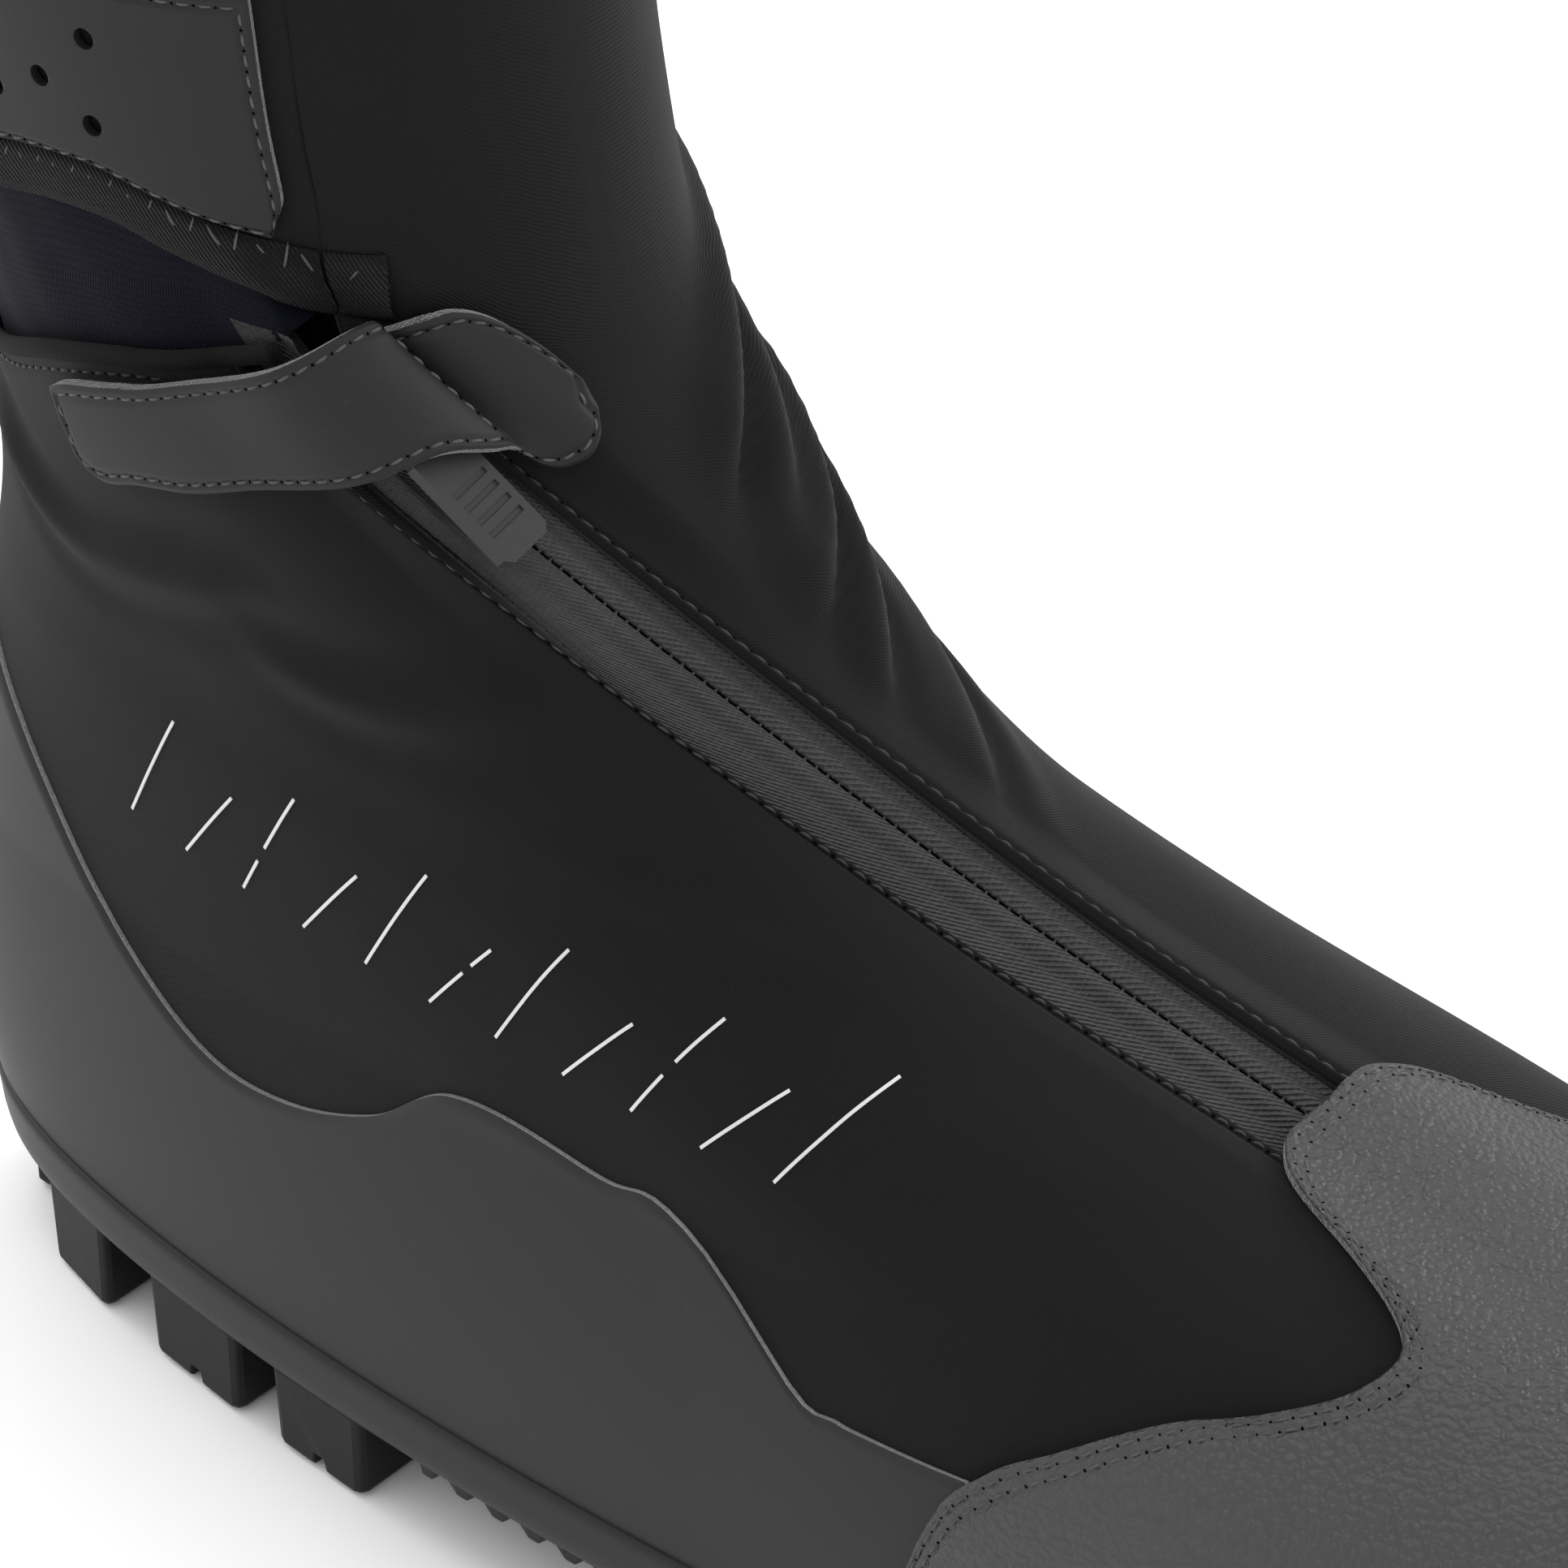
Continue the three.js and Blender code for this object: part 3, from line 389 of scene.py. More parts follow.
thread = {"pitch": 2.5, "length": 1.95, "width": .42, "height": .34, "sink": .05}


def stitchRun(name, runs, look, body, pitch=None, length=None, width=None, lift=0, skew=4, phase=.5):
    # each stitch is one small capsule, round in section, its ends bent down into the cloth by a cosine
    pitch = pitch or thread["pitch"]
    length = length or thread["length"]
    width = width or thread["width"]
    around, along = 6, 6
    ring = np.linspace(0, 2 * np.pi, around, endpoint=False)
    span = np.linspace(-1, 1, along)
    fat = np.sqrt(np.clip(1 - np.abs(span) ** 3, 0.06, 1))
    x = np.repeat(span, around) * length / 2
    y = (fat[:, None] * np.cos(ring)).ravel() * width / 2
    z = (fat[:, None] * np.sin(ring)).ravel() * thread["height"] / 2 \
        + np.repeat(np.cos(span * np.pi / 2) * .3 - .3 + thread["sink"], around)
    faces = []
    for k in range(along - 1):
        for m in range(around):
            a, b = k * around + m, k * around + (m + 1) % around
            faces.append((a, b, b + around, a + around))
    for start, flip in ((0, True), ((along - 1) * around, False)):
        cap = [start + m for m in range(around)]
        cap = cap[::-1] if flip else cap
        faces.append((cap[0], cap[1], cap[2], cap[3]))
        faces.append((cap[0], cap[3], cap[4], cap[5]))
    template = np.array(faces)[:, ::-1]
    allPoints, allQuads, count = [], [], 0
    for path, normal in runs:
        if len(path) < 2:
            continue
        run = runningLength(path)
        number = max(1, int(run[-1] / pitch))
        at = (np.arange(number) + phase) * run[-1] / number
        centre = np.stack([np.interp(at, run, path[:, k]) for k in range(3)], -1)
        ahead = np.stack([np.interp(at + .4, run, path[:, k]) - np.interp(at - .4, run, path[:, k])
                          for k in range(3)], -1)
        up = unit(np.stack([np.interp(at, run, normal[:, k]) for k in range(3)], -1))
        ahead -= up * (ahead * up).sum(1)[:, None]
        ahead = unit(ahead)
        side = np.cross(up, ahead)
        turn = np.radians(skew + 3 * np.sin(np.arange(number) * 12.9898))
        ahead, side = (ahead * np.cos(turn)[:, None] + side * np.sin(turn)[:, None],
                       side * np.cos(turn)[:, None] - ahead * np.sin(turn)[:, None])
        points = centre[:, None] + ahead[:, None] * x[None, :, None] + side[:, None] * y[None, :, None] \
            + up[:, None] * (z + lift)[None, :, None]
        allPoints.append(points.reshape(-1, 3))
        allQuads.append((template[None] + (np.arange(number) * len(x))[:, None, None]).reshape(-1, 4) + count)
        count += number * len(x)
    piece = linkMesh(name, np.concatenate(allPoints), np.concatenate(allQuads), None, None, [look])
    return finishPiece(piece, body)


def sewn(name, runs, look, body, lift=0):
    # a row of stitches and, between them, small near-black capsules: painted shade where the thread goes down into
    # the cloth
    stitchRun(name, runs, look, body, lift=lift)
    stitchRun(name + "HoleShade", runs, looks["holeShade"], body, length=.72, width=.62, lift=lift - .13, phase=0)


def sweep(name, path, side, up, outline, look, body, nodes=(), closed=False):
    # a closed outline of (side, up) pairs carried along a path, its ends closed by shrunken rings
    outline = np.asarray(outline, float)
    rings = path[:, None] + side[:, None] * outline[None, :, :1] + up[:, None] * outline[None, :, 1:2]
    if not closed:
        ends = [rings[0].mean(0) + (rings[0] - rings[0].mean(0)) * .01, rings[-1].mean(0)
                + (rings[-1] - rings[-1].mean(0)) * .01]
        rings = np.concatenate([[ends[0]], rings, [ends[1]]])
    count, size = len(rings), len(outline)
    j, i = np.meshgrid(np.arange(count if closed else count - 1), np.arange(size), indexing="ij")
    n, m = (j + 1) % count, (i + 1) % size
    quads = np.stack([j * size + i, j * size + m, n * size + m, n * size + i], -1).reshape(-1, 4)
    points = rings.reshape(-1, 3)
    if not closed:
        first, last = np.arange(size), (count - 1) * size + np.arange(size)
        caps = [[first[0], first[k], first[k + 1], first[k + 1]] for k in range(1, size - 1)]
        caps = [c[::-1] for c in caps]
        caps += [[last[0], last[k], last[k + 1], last[k + 1]] for k in range(1, size - 1)]
        caps = np.array([[c[0], c[1], c[2], c[3]] for c in caps])
    if volumeSign(points, quads) < 0:
        quads = quads[:, ::-1]
        if not closed:
            caps = caps[:, ::-1]
    length = runningLength(rings.mean(1))
    girth = runningLength(outline)
    uv = np.stack(np.meshgrid(girth, length), -1).reshape(-1, 2) / 100
    if not closed:
        quads = np.concatenate([quads, caps])
    piece = linkMesh(name, points, quads, uv, None, [look])
    return finishPiece(piece, body, nodes)


# ---- shader groups that several finishes share ----

def newGroup(name, inputs, outputs):
    group = bpy.data.node_groups.new(name, "ShaderNodeTree")
    for label, kind, value in inputs:
        socket = group.interface.new_socket(label, in_out="INPUT", socket_type=kind)
        if value is not None:
            socket.default_value = value
    for label, kind in outputs:
        group.interface.new_socket(label, in_out="OUTPUT", socket_type=kind)
    return group, group.nodes.new("NodeGroupInput"), group.nodes.new("NodeGroupOutput")


def maths(tree, kind, a, b=None, clamp=False):
    node = tree.nodes.new("ShaderNodeMath")
    node.operation = kind
    node.use_clamp = clamp
    for slot, value in enumerate((a, b)):
        if value is None:
            continue
        if isinstance(value, (int, float)):
            node.inputs[slot].default_value = value
        else:
            tree.links.new(value, node.inputs[slot])
    return node.outputs[0]


def buildWeave():
    # two sets of sine ridges that cross at a slant, each set broken up by the other, and a thread-wide noise
    group, enter, leave = newGroup(
        "woven cloth",
        [("Vector", "NodeSocketVector", None), ("Threads", "NodeSocketFloat", 200.0),
         ("Slant", "NodeSocketFloat", 1.0), ("Ribs", "NodeSocketFloat", 0.0)],
        [("Height", "NodeSocketFloat"), ("Tone", "NodeSocketFloat")])
    split = group.nodes.new("ShaderNodeSeparateXYZ")
    group.links.new(enter.outputs["Vector"], split.inputs[0])
    x, y = split.outputs[0], split.outputs[1]
    turns = maths(group, "MULTIPLY", enter.outputs["Threads"], 2 * math.pi)
    slanted = maths(group, "ADD", x, maths(group, "MULTIPLY", y, enter.outputs["Slant"]))
    first = maths(group, "SINE", maths(group, "MULTIPLY", slanted, turns))
    crossed = maths(group, "SUBTRACT", y, maths(group, "MULTIPLY", x, .35))
    second = maths(group, "SINE", maths(group, "MULTIPLY", crossed, turns))
    both = maths(group, "MULTIPLY", first, maths(group, "MULTIPLY_ADD", second, .5))
    weave = maths(group, "ADD", maths(group, "MULTIPLY", first, .5), maths(group, "MULTIPLY", both, .5))
    ribs = maths(group, "SINE", maths(group, "MULTIPLY", maths(group, "MULTIPLY", y, turns), .35))
    weave = maths(group, "ADD", weave, maths(group, "MULTIPLY", ribs, enter.outputs["Ribs"]))
    noise = group.nodes.new("ShaderNodeTexNoise")
    noise.inputs["Scale"].default_value = 260
    noise.inputs["Detail"].default_value = 3
    group.links.new(enter.outputs["Vector"], noise.inputs["Vector"])
    group.links.new(maths(group, "ADD", weave, noise.outputs["Fac"]), leave.inputs["Height"])
    # the tone rises with the weave's ridges: painted shade in the gaps between threads and painted highlight on the
    # raised threads
    tone = maths(group, "MULTIPLY_ADD", weave, .18)
    tone.node.inputs[2].default_value = .25
    group.links.new(maths(group, "ADD", tone, maths(group, "MULTIPLY", noise.outputs["Fac"], .5), True),
                    leave.inputs["Tone"])
    return group


def buildGrain():
    # the distance to the nearest of scattered points, softened, with a finer noise laid over it
    group, enter, leave = newGroup(
        "leather grain",
        [("Vector", "NodeSocketVector", None), ("Size", "NodeSocketFloat", 900.0),
         ("Fine", "NodeSocketFloat", .4)],
        [("Height", "NodeSocketFloat"), ("Tone", "NodeSocketFloat")])
    warp = group.nodes.new("ShaderNodeTexNoise")
    warp.inputs["Scale"].default_value = 420
    group.links.new(enter.outputs["Vector"], warp.inputs["Vector"])
    moved = group.nodes.new("ShaderNodeVectorMath")
    moved.operation = "MULTIPLY_ADD"
    group.links.new(warp.outputs["Color"], moved.inputs[0])
    moved.inputs[1].default_value = (.0016, .0016, .0016)
    group.links.new(enter.outputs["Vector"], moved.inputs[2])
    cells = group.nodes.new("ShaderNodeTexVoronoi")
    cells.feature = "SMOOTH_F1"
    cells.inputs["Smoothness"].default_value = .35
    group.links.new(enter.outputs["Size"], cells.inputs["Scale"])
    group.links.new(moved.outputs[0], cells.inputs["Vector"])
    fine = group.nodes.new("ShaderNodeTexNoise")
    fine.inputs["Scale"].default_value = 2600
    fine.inputs["Detail"].default_value = 3
    group.links.new(enter.outputs["Vector"], fine.inputs["Vector"])
    pebble = maths(group, "SUBTRACT", 1.0, cells.outputs["Distance"])
    high = maths(group, "ADD", pebble, maths(group, "MULTIPLY", fine.outputs["Fac"], enter.outputs["Fine"]))
    group.links.new(high, leave.inputs["Height"])
    group.links.new(maths(group, "MULTIPLY", pebble, pebble, True), leave.inputs["Tone"])
    return group


def buildMottle():
    # broad soft clouds and a few specks of lint, from noise at two sizes
    group, enter, leave = newGroup(
        "handling marks",
        [("Vector", "NodeSocketVector", None), ("Clouds", "NodeSocketFloat", 30.0),
         ("Specks", "NodeSocketFloat", .3)],
        [("Tone", "NodeSocketFloat"), ("Lint", "NodeSocketFloat")])
    clouds = group.nodes.new("ShaderNodeTexNoise")
    clouds.inputs["Detail"].default_value = 4
    clouds.inputs["Roughness"].default_value = .6
    group.links.new(enter.outputs["Clouds"], clouds.inputs["Scale"])
    group.links.new(enter.outputs["Vector"], clouds.inputs["Vector"])
    specks = group.nodes.new("ShaderNodeTexNoise")
    specks.inputs["Scale"].default_value = 1500
    group.links.new(enter.outputs["Vector"], specks.inputs["Vector"])
    sharp = maths(group, "MULTIPLY", maths(group, "SUBTRACT", specks.outputs["Fac"], .66), 9.0, True)
    group.links.new(clouds.outputs["Fac"], leave.inputs["Tone"])
    group.links.new(maths(group, "MULTIPLY", sharp, enter.outputs["Specks"]), leave.inputs["Lint"])
    return group


shared = {"weave": buildWeave(), "grain": buildGrain(), "mottle": buildMottle()}


def newLook(name, colour, roughness, dark=.75, light=1.3, weave=None, grain=None, bump=.2, distance=.0002,
            sheen=0, sheenRough=.4, metal=0, coat=0, clouds=30, lint=.2, roughSpread=.08, specular=.5,
            sheenTint=(1, 1, 1)):
    # base colour: dark to light shades by the weave or grain and the clouds, the weave's shades being painted shade
    # between threads and painted highlight on their crowns; height: the same weave or grain
    look = bpy.data.materials.new(name)
    look.use_nodes = True
    tree = look.node_tree
    paint = tree.nodes["Principled BSDF"]
    place = tree.nodes.new("ShaderNodeTexCoord")
    marks = tree.nodes.new("ShaderNodeGroup")
    marks.node_tree = shared["mottle"]
    marks.inputs["Clouds"].default_value = clouds
    marks.inputs["Specks"].default_value = lint
    tree.links.new(place.outputs["Object"], marks.inputs["Vector"])
    tone = marks.outputs["Tone"]
    if weave or grain:
        effect = tree.nodes.new("ShaderNodeGroup")
        effect.node_tree = shared["weave" if weave else "grain"]
        keys = ("Threads", "Slant", "Ribs") if weave else ("Size", "Fine")
        for key, value in zip(keys, weave or grain):
            effect.inputs[key].default_value = value
        source = place.outputs["UV"] if weave else place.outputs["Object"]
        tree.links.new(source, effect.inputs["Vector"])
        tone = maths(tree, "ADD", maths(tree, "MULTIPLY", tone, .5),
                     maths(tree, "MULTIPLY", effect.outputs["Tone"], .5))
        push = tree.nodes.new("ShaderNodeBump")
        push.inputs["Strength"].default_value = bump
        push.inputs["Distance"].default_value = distance
        tree.links.new(effect.outputs["Height"], push.inputs["Height"])
        tree.links.new(push.outputs["Normal"], paint.inputs["Normal"])
    ramp = tree.nodes.new("ShaderNodeValToRGB")
    low, high = ramp.color_ramp.elements
    low.position, high.position = .25, .75
    low.color = (*[c * dark for c in colour], 1)
    high.color = (*[min(c * light, 1) for c in colour], 1)
    tree.links.new(tone, ramp.inputs[0])
    dust = tree.nodes.new("ShaderNodeMix")
    dust.data_type = "RGBA"
    dust.inputs[7].default_value = (*[min(c * 2.2 + .02, 1) for c in colour], 1)
    tree.links.new(marks.outputs["Lint"], dust.inputs[0])
    tree.links.new(ramp.outputs[0], dust.inputs[6])
    tree.links.new(dust.outputs[2], paint.inputs["Base Color"])
    rough = maths(tree, "MULTIPLY_ADD", tone, roughSpread * 2, True)
    rough.node.inputs[2].default_value = roughness - roughSpread
    tree.links.new(rough, paint.inputs["Roughness"])
    paint.inputs["Sheen Weight"].default_value = sheen
    paint.inputs["Sheen Roughness"].default_value = sheenRough
    paint.inputs["Sheen Tint"].default_value = (*sheenTint, 1)
    paint.inputs["Specular IOR Level"].default_value = specular
    paint.inputs["Metallic"].default_value = metal
    paint.inputs["Coat Weight"].default_value = coat
    return look


looks = {
    "softshell": newLook("softshell twill", (.006, .006, .0065), .8, weave=(210, .9, 0),
                         bump=.35, distance=.00014, sheen=.06, sheenRough=.4, specular=.12, lint=.1),
    "hem": newLook("softshell hem", (.006, .006, .0065), .85, weave=(210, .9, 0),
                   bump=.4, distance=.00012, sheen=.03, sheenRough=.45, specular=.06),
    "guard": newLook("smooth mudguard", (.0175, .0175, .0182), .5, dark=.93, light=1.07,
                     grain=(3200, .5), bump=.05, distance=.00008, specular=.2, roughSpread=.03),
    # light grey on the mudguard's rim walls: a painted highlight for the fine light line along its edge
    "guardEdgeHighlight": newLook("mudguard edge painted highlight", (.20, .20, .20), .6, grain=(2600, .8), bump=.4),
    "capLeather": newLook("grained toe leather", (.030, .030, .031), .42, dark=.8, light=1.15,
                          grain=(1150, .35), bump=.9, distance=.0004, specular=.5),
    "cutEdge": newLook("raw cut edge", (.060, .058, .057), .95, dark=.5, light=1.7,
                       grain=(3000, 1.0), bump=1, distance=.0003, sheen=.5, lint=1),
    "strapLeather": newLook("smooth strap leather", (.0135, .0135, .0142), .54, dark=.94, light=1.06,
                            grain=(3000, .6), bump=.06, distance=.0001, specular=.2,
                            roughSpread=.03),
    # the wide dark-to-light span paints strong shade into the weave's gaps and highlight onto its ribs
    "tape": newLook("knitted zip tape", (.070, .070, .073), .85, dark=.22, light=1.8,
                    weave=(115, .75, .15), bump=1, distance=.0006, sheen=.05,
                    specular=.1),
    "teeth": newLook("zip coil", (.02, .02, .02), .4, specular=.3),
    "thread": newLook("sewing thread", (.022, .022, .023), .6, dark=.7, light=1.5, sheen=.1, specular=.25),
    "threadGrey": newLook("grey sewing thread", (.055, .055, .057), .6, dark=.7, light=1.5, sheen=.1,
                          specular=.3),
    # near-black: painted shade for the inside of each stitch hole
    "holeShade": newLook("stitch hole painted shade", (.002, .002, .002), .95, specular=.02),
    "neoprene": newLook("neoprene knit", (.0042, .0042, .009), .85, dark=.6,
                        weave=(230, .1, .6), bump=.45, distance=.00015, sheen=.03,
                        specular=.06),
    # the wide span paints shade into the knit's gaps and highlight onto its ribs
    "binding": newLook("knitted binding", (.0085, .0085, .009), .85, dark=.4, light=1.7,
                       weave=(125, .8, .2), bump=.9, distance=.0003, sheen=.05,
                       specular=.1),
    "fleece": newLook("brushed lining", (.008, .008, .010), .95, grain=(1100, 1.0), bump=.8,
                      distance=.0005, sheen=.1, specular=.08, lint=.5),
    "hook": newLook("hook and loop", (.006, .006, .006), .95, grain=(2200, 1.0), bump=1,
                    distance=.0005, sheen=.1, specular=.1),
    "soleRubber": newLook("tread rubber", (.010, .010, .0105), .55, dark=.8, light=1.2,
                          grain=(2600, .8), bump=.12, distance=.0001, specular=.2),
    "solePlastic": newLook("moulded sole", (.010, .010, .011), .48, dark=.85, light=1.15,
                           grain=(3600, .8), bump=.12, distance=.00008, specular=.25),
    "gripRubber": newLook("puller rubber", (.026, .026, .027), .52, dark=.92, light=1.08,
                          grain=(3400, .6), bump=.08, distance=.00008, specular=.25),
    "board": newLook("fibre board", (.22, .20, .17), .9, grain=(900, .9), bump=.4),
    "darkSteel": newLook("dark plated metal", (.16, .16, .17), .35, metal=1, grain=(2000, .8),
                         bump=.08, distance=.00005),
    "stud": newLook("stud steel", (.35, .35, .36), .38, metal=1, grain=(2000, .8), bump=.1,
                    distance=.00005),
    "silver": newLook("reflective print", (.62, .62, .62), .4, dark=.9, light=1.05, metal=.2,
                      grain=(5200, 1.0), bump=.15, distance=.00005),
}
print("finishes made", len(looks))


# ---- the CAD pieces that are kept, with softened edges ----

def keepNode(name, look, rounding=0, steps=2):
    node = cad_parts[name]
    node.data.materials.clear()
    node.data.materials.append(look)
    if rounding:
        weld = node.modifiers.new("join", "WELD")
        weld.merge_threshold = .00002
        soften(node, rounding, steps, 28)


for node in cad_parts:
    if "lug" in node:
        keepNode(node, looks["soleRubber"], .7, 3)
kept = [
    ("outsole_plate", "solePlastic", .4), ("arch_grip_pad", "soleRubber", .35), ("toe_stud_outer", "stud", .3),
    ("toe_stud_inner", "stud", .3), ("cleat_nut_plate", "darkSteel", .3), ("zip_slider", "darkSteel", .25),
    ("puller_bail", "darkSteel", .25), ("puller_grip", "gripRubber", .45), ("zip_top_stop", "darkSteel", .3),
    ("zip_bottom_stop", "darkSteel", .3), ("lasting_board", "board", 0), ("heel_counter", "board", 0),
    ("toe_puff", "board", 0), ("insole", "fleece", .8), ("zip_gusset", "softshell", 0),
    ("strap_hook_patch", "hook", 0), ("strap_loop_patch", "hook", 0), ("cuff_hook_patch", "hook", 0),
    ("cuff_loop_patch", "hook", 0),
]
for node, look, rounding in kept:
    keepNode(node, looks[look], rounding)
print("kept pieces finished")


# ---- upper: outer quarter, front panel, lining ----

def gap(distance, place, width):
    return np.exp(-((distance - place) / width) ** 2)


upper = {
    "outerTop": through([-180, -130, -110, -84, -62], [.62, .66, .702, .75, .787]),
    "hingeAngle": -49.5, "shellTop": .985, "shell": 1.4, "seamAngle": 179.9,
    "stitchDepth": 1.5, "foldRoll": .35,
}


def outerFold(level):
    closing = ease((level - .33) / .04)
    return mix(zipAngle(level) - .6, besideZip(level, zipLine["foldOuter"]), closing)


def innerFold(level):
    closing = ease((level - .33) / .04)
    fold = mix(zipAngle(level) + .6, besideZip(level, zipLine["foldInner"]), closing)
    return mix(fold, upper["hingeAngle"] + .02, ease((level - .77) / .03))


def rolledFold(distance):
    # the turned edge is round, and the row of stitches behind it sinks in
    return upper["foldRoll"] * gap(distance, .6, .5) - .35 * gap(distance, upper["stitchDepth"], .45) \
        - .5 * gap(distance, 0, .35)


def buildQuarter():
    q = np.linspace(0, 1, 116)
    t = (1 - (1 - q) ** 1.25)[:, None]
    s = np.linspace(0, 1, 170)[None]
    fold = outerFold(t[:, 0] * .787)[:, None]
    angle = mix(-upper["seamAngle"], fold, 1 - (1 - s) ** 1.4)
    level = t * (upper["outerTop"](angle) - .0095)
    top = softSwell(angle, level)
    closed = ease((level - .36) / .03)

    def relief(left, right, bottom, high):
        return closed * rolledFold(right) - .25 * gap(high, 1.5, .6)
    _, grid, out = layer("quarterOuter", angle, level, top, upper["shell"], [looks["softshell"]], "boot",
                         "softshell", ("quarter_outer",), rounding=0, relief=relief)
    foldStitch = insetPath(grid[:, :], out, "right", upper["stitchDepth"], 0, 4)
    keep = fromZip(foldStitch[0]) > 0
    rows = foldStitch[0][keep], foldStitch[1][keep]
    return grid, out, rows


quarterGrid, quarterOut, foldStitchOuter = buildQuarter()


def buildHem():
    # the top edge of the quarter, turned over into a soft roll
    angle = np.linspace(-upper["seamAngle"], -66, 150)
    level = upper["outerTop"](angle) - .005
    centre = skin(angle, level) + normals(skin, angle, level) * -.35
    up = unit(np.gradient(centre, axis=0))
    out = normals(skin, angle, level)
    side = np.cross(out, up)
    ring = np.linspace(0, 2 * np.pi, 14, endpoint=False)
    outline = np.stack([1.25 * np.cos(ring), .95 * np.sin(ring)], -1)
    sweep("quarterTopHem", centre, side, out, outline, looks["hem"], "boot", ("topline_binding",))
    return insetPath(quarterGrid, quarterOut, "top", 1.6, 0, 14)


hemStitch = buildHem()


def buildFront():
    t = np.linspace(0, 1, 190)[:, None]
    s = np.linspace(0, 1, 190)[None]
    start = innerFold(t[:, 0] * upper["shellTop"])[:, None]
    angle = mix(start, upper["seamAngle"], s ** 1.35)
    level = np.broadcast_to(t * upper["shellTop"], angle.shape)
    top = softSwell(angle, level)
    zipSide = ease((level - .36) / .03) * ease((.775 - level) / .02)

    def relief(left, right, bottom, high):
        return zipSide * rolledFold(left)
    _, grid, out = layer("frontPanel", angle, level, top, upper["shell"], [looks["softshell"]], "boot",
                         "softshell", ("front_panel",), rounding=0, relief=relief)
    path, normal = insetPath(grid, out, "left", upper["stitchDepth"], 0, 0)
    return path, normal, level


frontPath, frontNormal, frontLevel = buildFront()


def shareOfPath(path, normal, low, high):
    # the part of a path between two heights in millimetres
    keep = (path[:, 2] > low) & (path[:, 2] < high)
    return path[keep], normal[keep]


sewn("zipFoldStitches", [shareOfPath(*foldStitchOuter, 80, 150), shareOfPath(frontPath, frontNormal, 80, 153)],
          looks["thread"], "boot", lift=.02)
sewn("quarterTopStitches", [hemStitch], looks["thread"], "boot", lift=.02)


def buildLining():
    q = np.linspace(0, 1, 90)[:, None]
    s = np.linspace(0, 1, 132, endpoint=False)[None]
    angle = np.broadcast_to(s * 360, (90, 132))
    level = np.broadcast_to(mix(.04, .992, q), (90, 132))
    base = plainSkin(angle, level)
    dip = 5 * (1 - ease((fromZip(base) - 7) / 14))
    rim = .9 * ease((level - .955) / .03)
    out = normals(plainSkin, angle, level)
    ripple = .25 * np.sin(angle * .22) * np.sin(level * 40)
    outer = base + out * (-4.8 - dip + rim)[..., None]
    inner = base + out * (-7.2 - dip + rim + ripple)[..., None]
    points, quads, _, uv = shell(outer, inner, True)
    piece = linkMesh("liningBootie", points, quads, uv, None, [looks["fleece"]])
    finishPiece(piece, "boot", ("liner_bootie",), .5)


buildLining()
print("upper and lining made")


# ---- overlays: mudguard and toe cap ----

overlay = {
    "guardAngles": [-180, -148, -135, -126, -117, -111, -104, -97, -90, -85.5, -84.5, -82],
    "guardLevels": [.43, .388, .318, .237, .187, .19, .218, .267, .262, .233, .188, .172],
    "capAngles": [0, 5, 12.5, 18.5, 23, 31, 41, 51, 60, 68, 73.5, 77.4, 80.4, 83],
    "capLevels": [.411, .411, .404, .385, .355, .312, .282, .26, .24, .21, .183, .15, .1, .03],
    "guardTop": 1.65, "capTop": 2.05, "thick": 1.0, "stitchRows": (1.3, 3.0),
}
guardTop = through(overlay["guardAngles"], overlay["guardLevels"])
capTop = through(overlay["capAngles"], overlay["capLevels"])
capEdge = through([0, .1, .15], [-83, -80.4, -77.4])


def buildGuard():
    s = np.linspace(0, 1, 420)[None]
    q = np.linspace(0, 1, 44)[:, None]
    end = .9 - capEdge(q * .168)
    angle = mix(end - 3, 363 - end, s)
    signed = np.where(angle < 180, -angle, angle - 360)
    level = mix(.012, guardTop(signed), q)

    def relief(left, right, bottom, high):
        return -.5 * gap(high, 0, .3)
    # the rim walls take the painted edge highlight, the faces the plain mudguard finish
    return layer("mudguard", angle, level, overlay["guardTop"] - .5, overlay["thick"] - .1,
                 [looks["guard"], looks["guardEdgeHighlight"]], "boot", "guard_film", ("mudguard",), rounding=.12,
                 relief=relief)


buildGuard()


def buildCap():
    s = np.linspace(0, 1, 300)[None]
    q = (1 - (1 - np.linspace(0, 1, 64)) ** 1.5)[:, None]
    half = (s - .5) * np.pi
    angle = np.broadcast_to(82.6 * np.sin(half) * (1 - .12 * np.cos(half)), (64, 300))
    level = mix(0, capTop(np.abs(angle)), q)

    def relief(left, right, bottom, high):
        near = np.minimum(high, np.minimum(left, right) + 3)
        return -.28 * gap(near, overlay["stitchRows"][0], .42) - .28 * gap(near, overlay["stitchRows"][1], .42) \
            - .35 * gap(near, 0, .3)
    _, grid, out = layer("toeCap", angle, level, overlay["capTop"], overlay["thick"],
                         [looks["capLeather"], looks["cutEdge"]], "boot", "grained_leather", ("toe_cap",),
                         rounding=.25, surface=calmSkin, relief=relief)
    runs = [insetPath(grid, out, "top", depth, 2, 2) for depth in overlay["stitchRows"]]
    sewn("toeCapStitches", runs, looks["threadGrey"], "boot", lift=.0)


buildCap()
print("overlays made")


# ---- zip ----

zipParts = {"tape": 0.7, "top": -1.9, "gapHalf": .3, "toothPitch": 1.6, "outer": -10, "inner": 8}


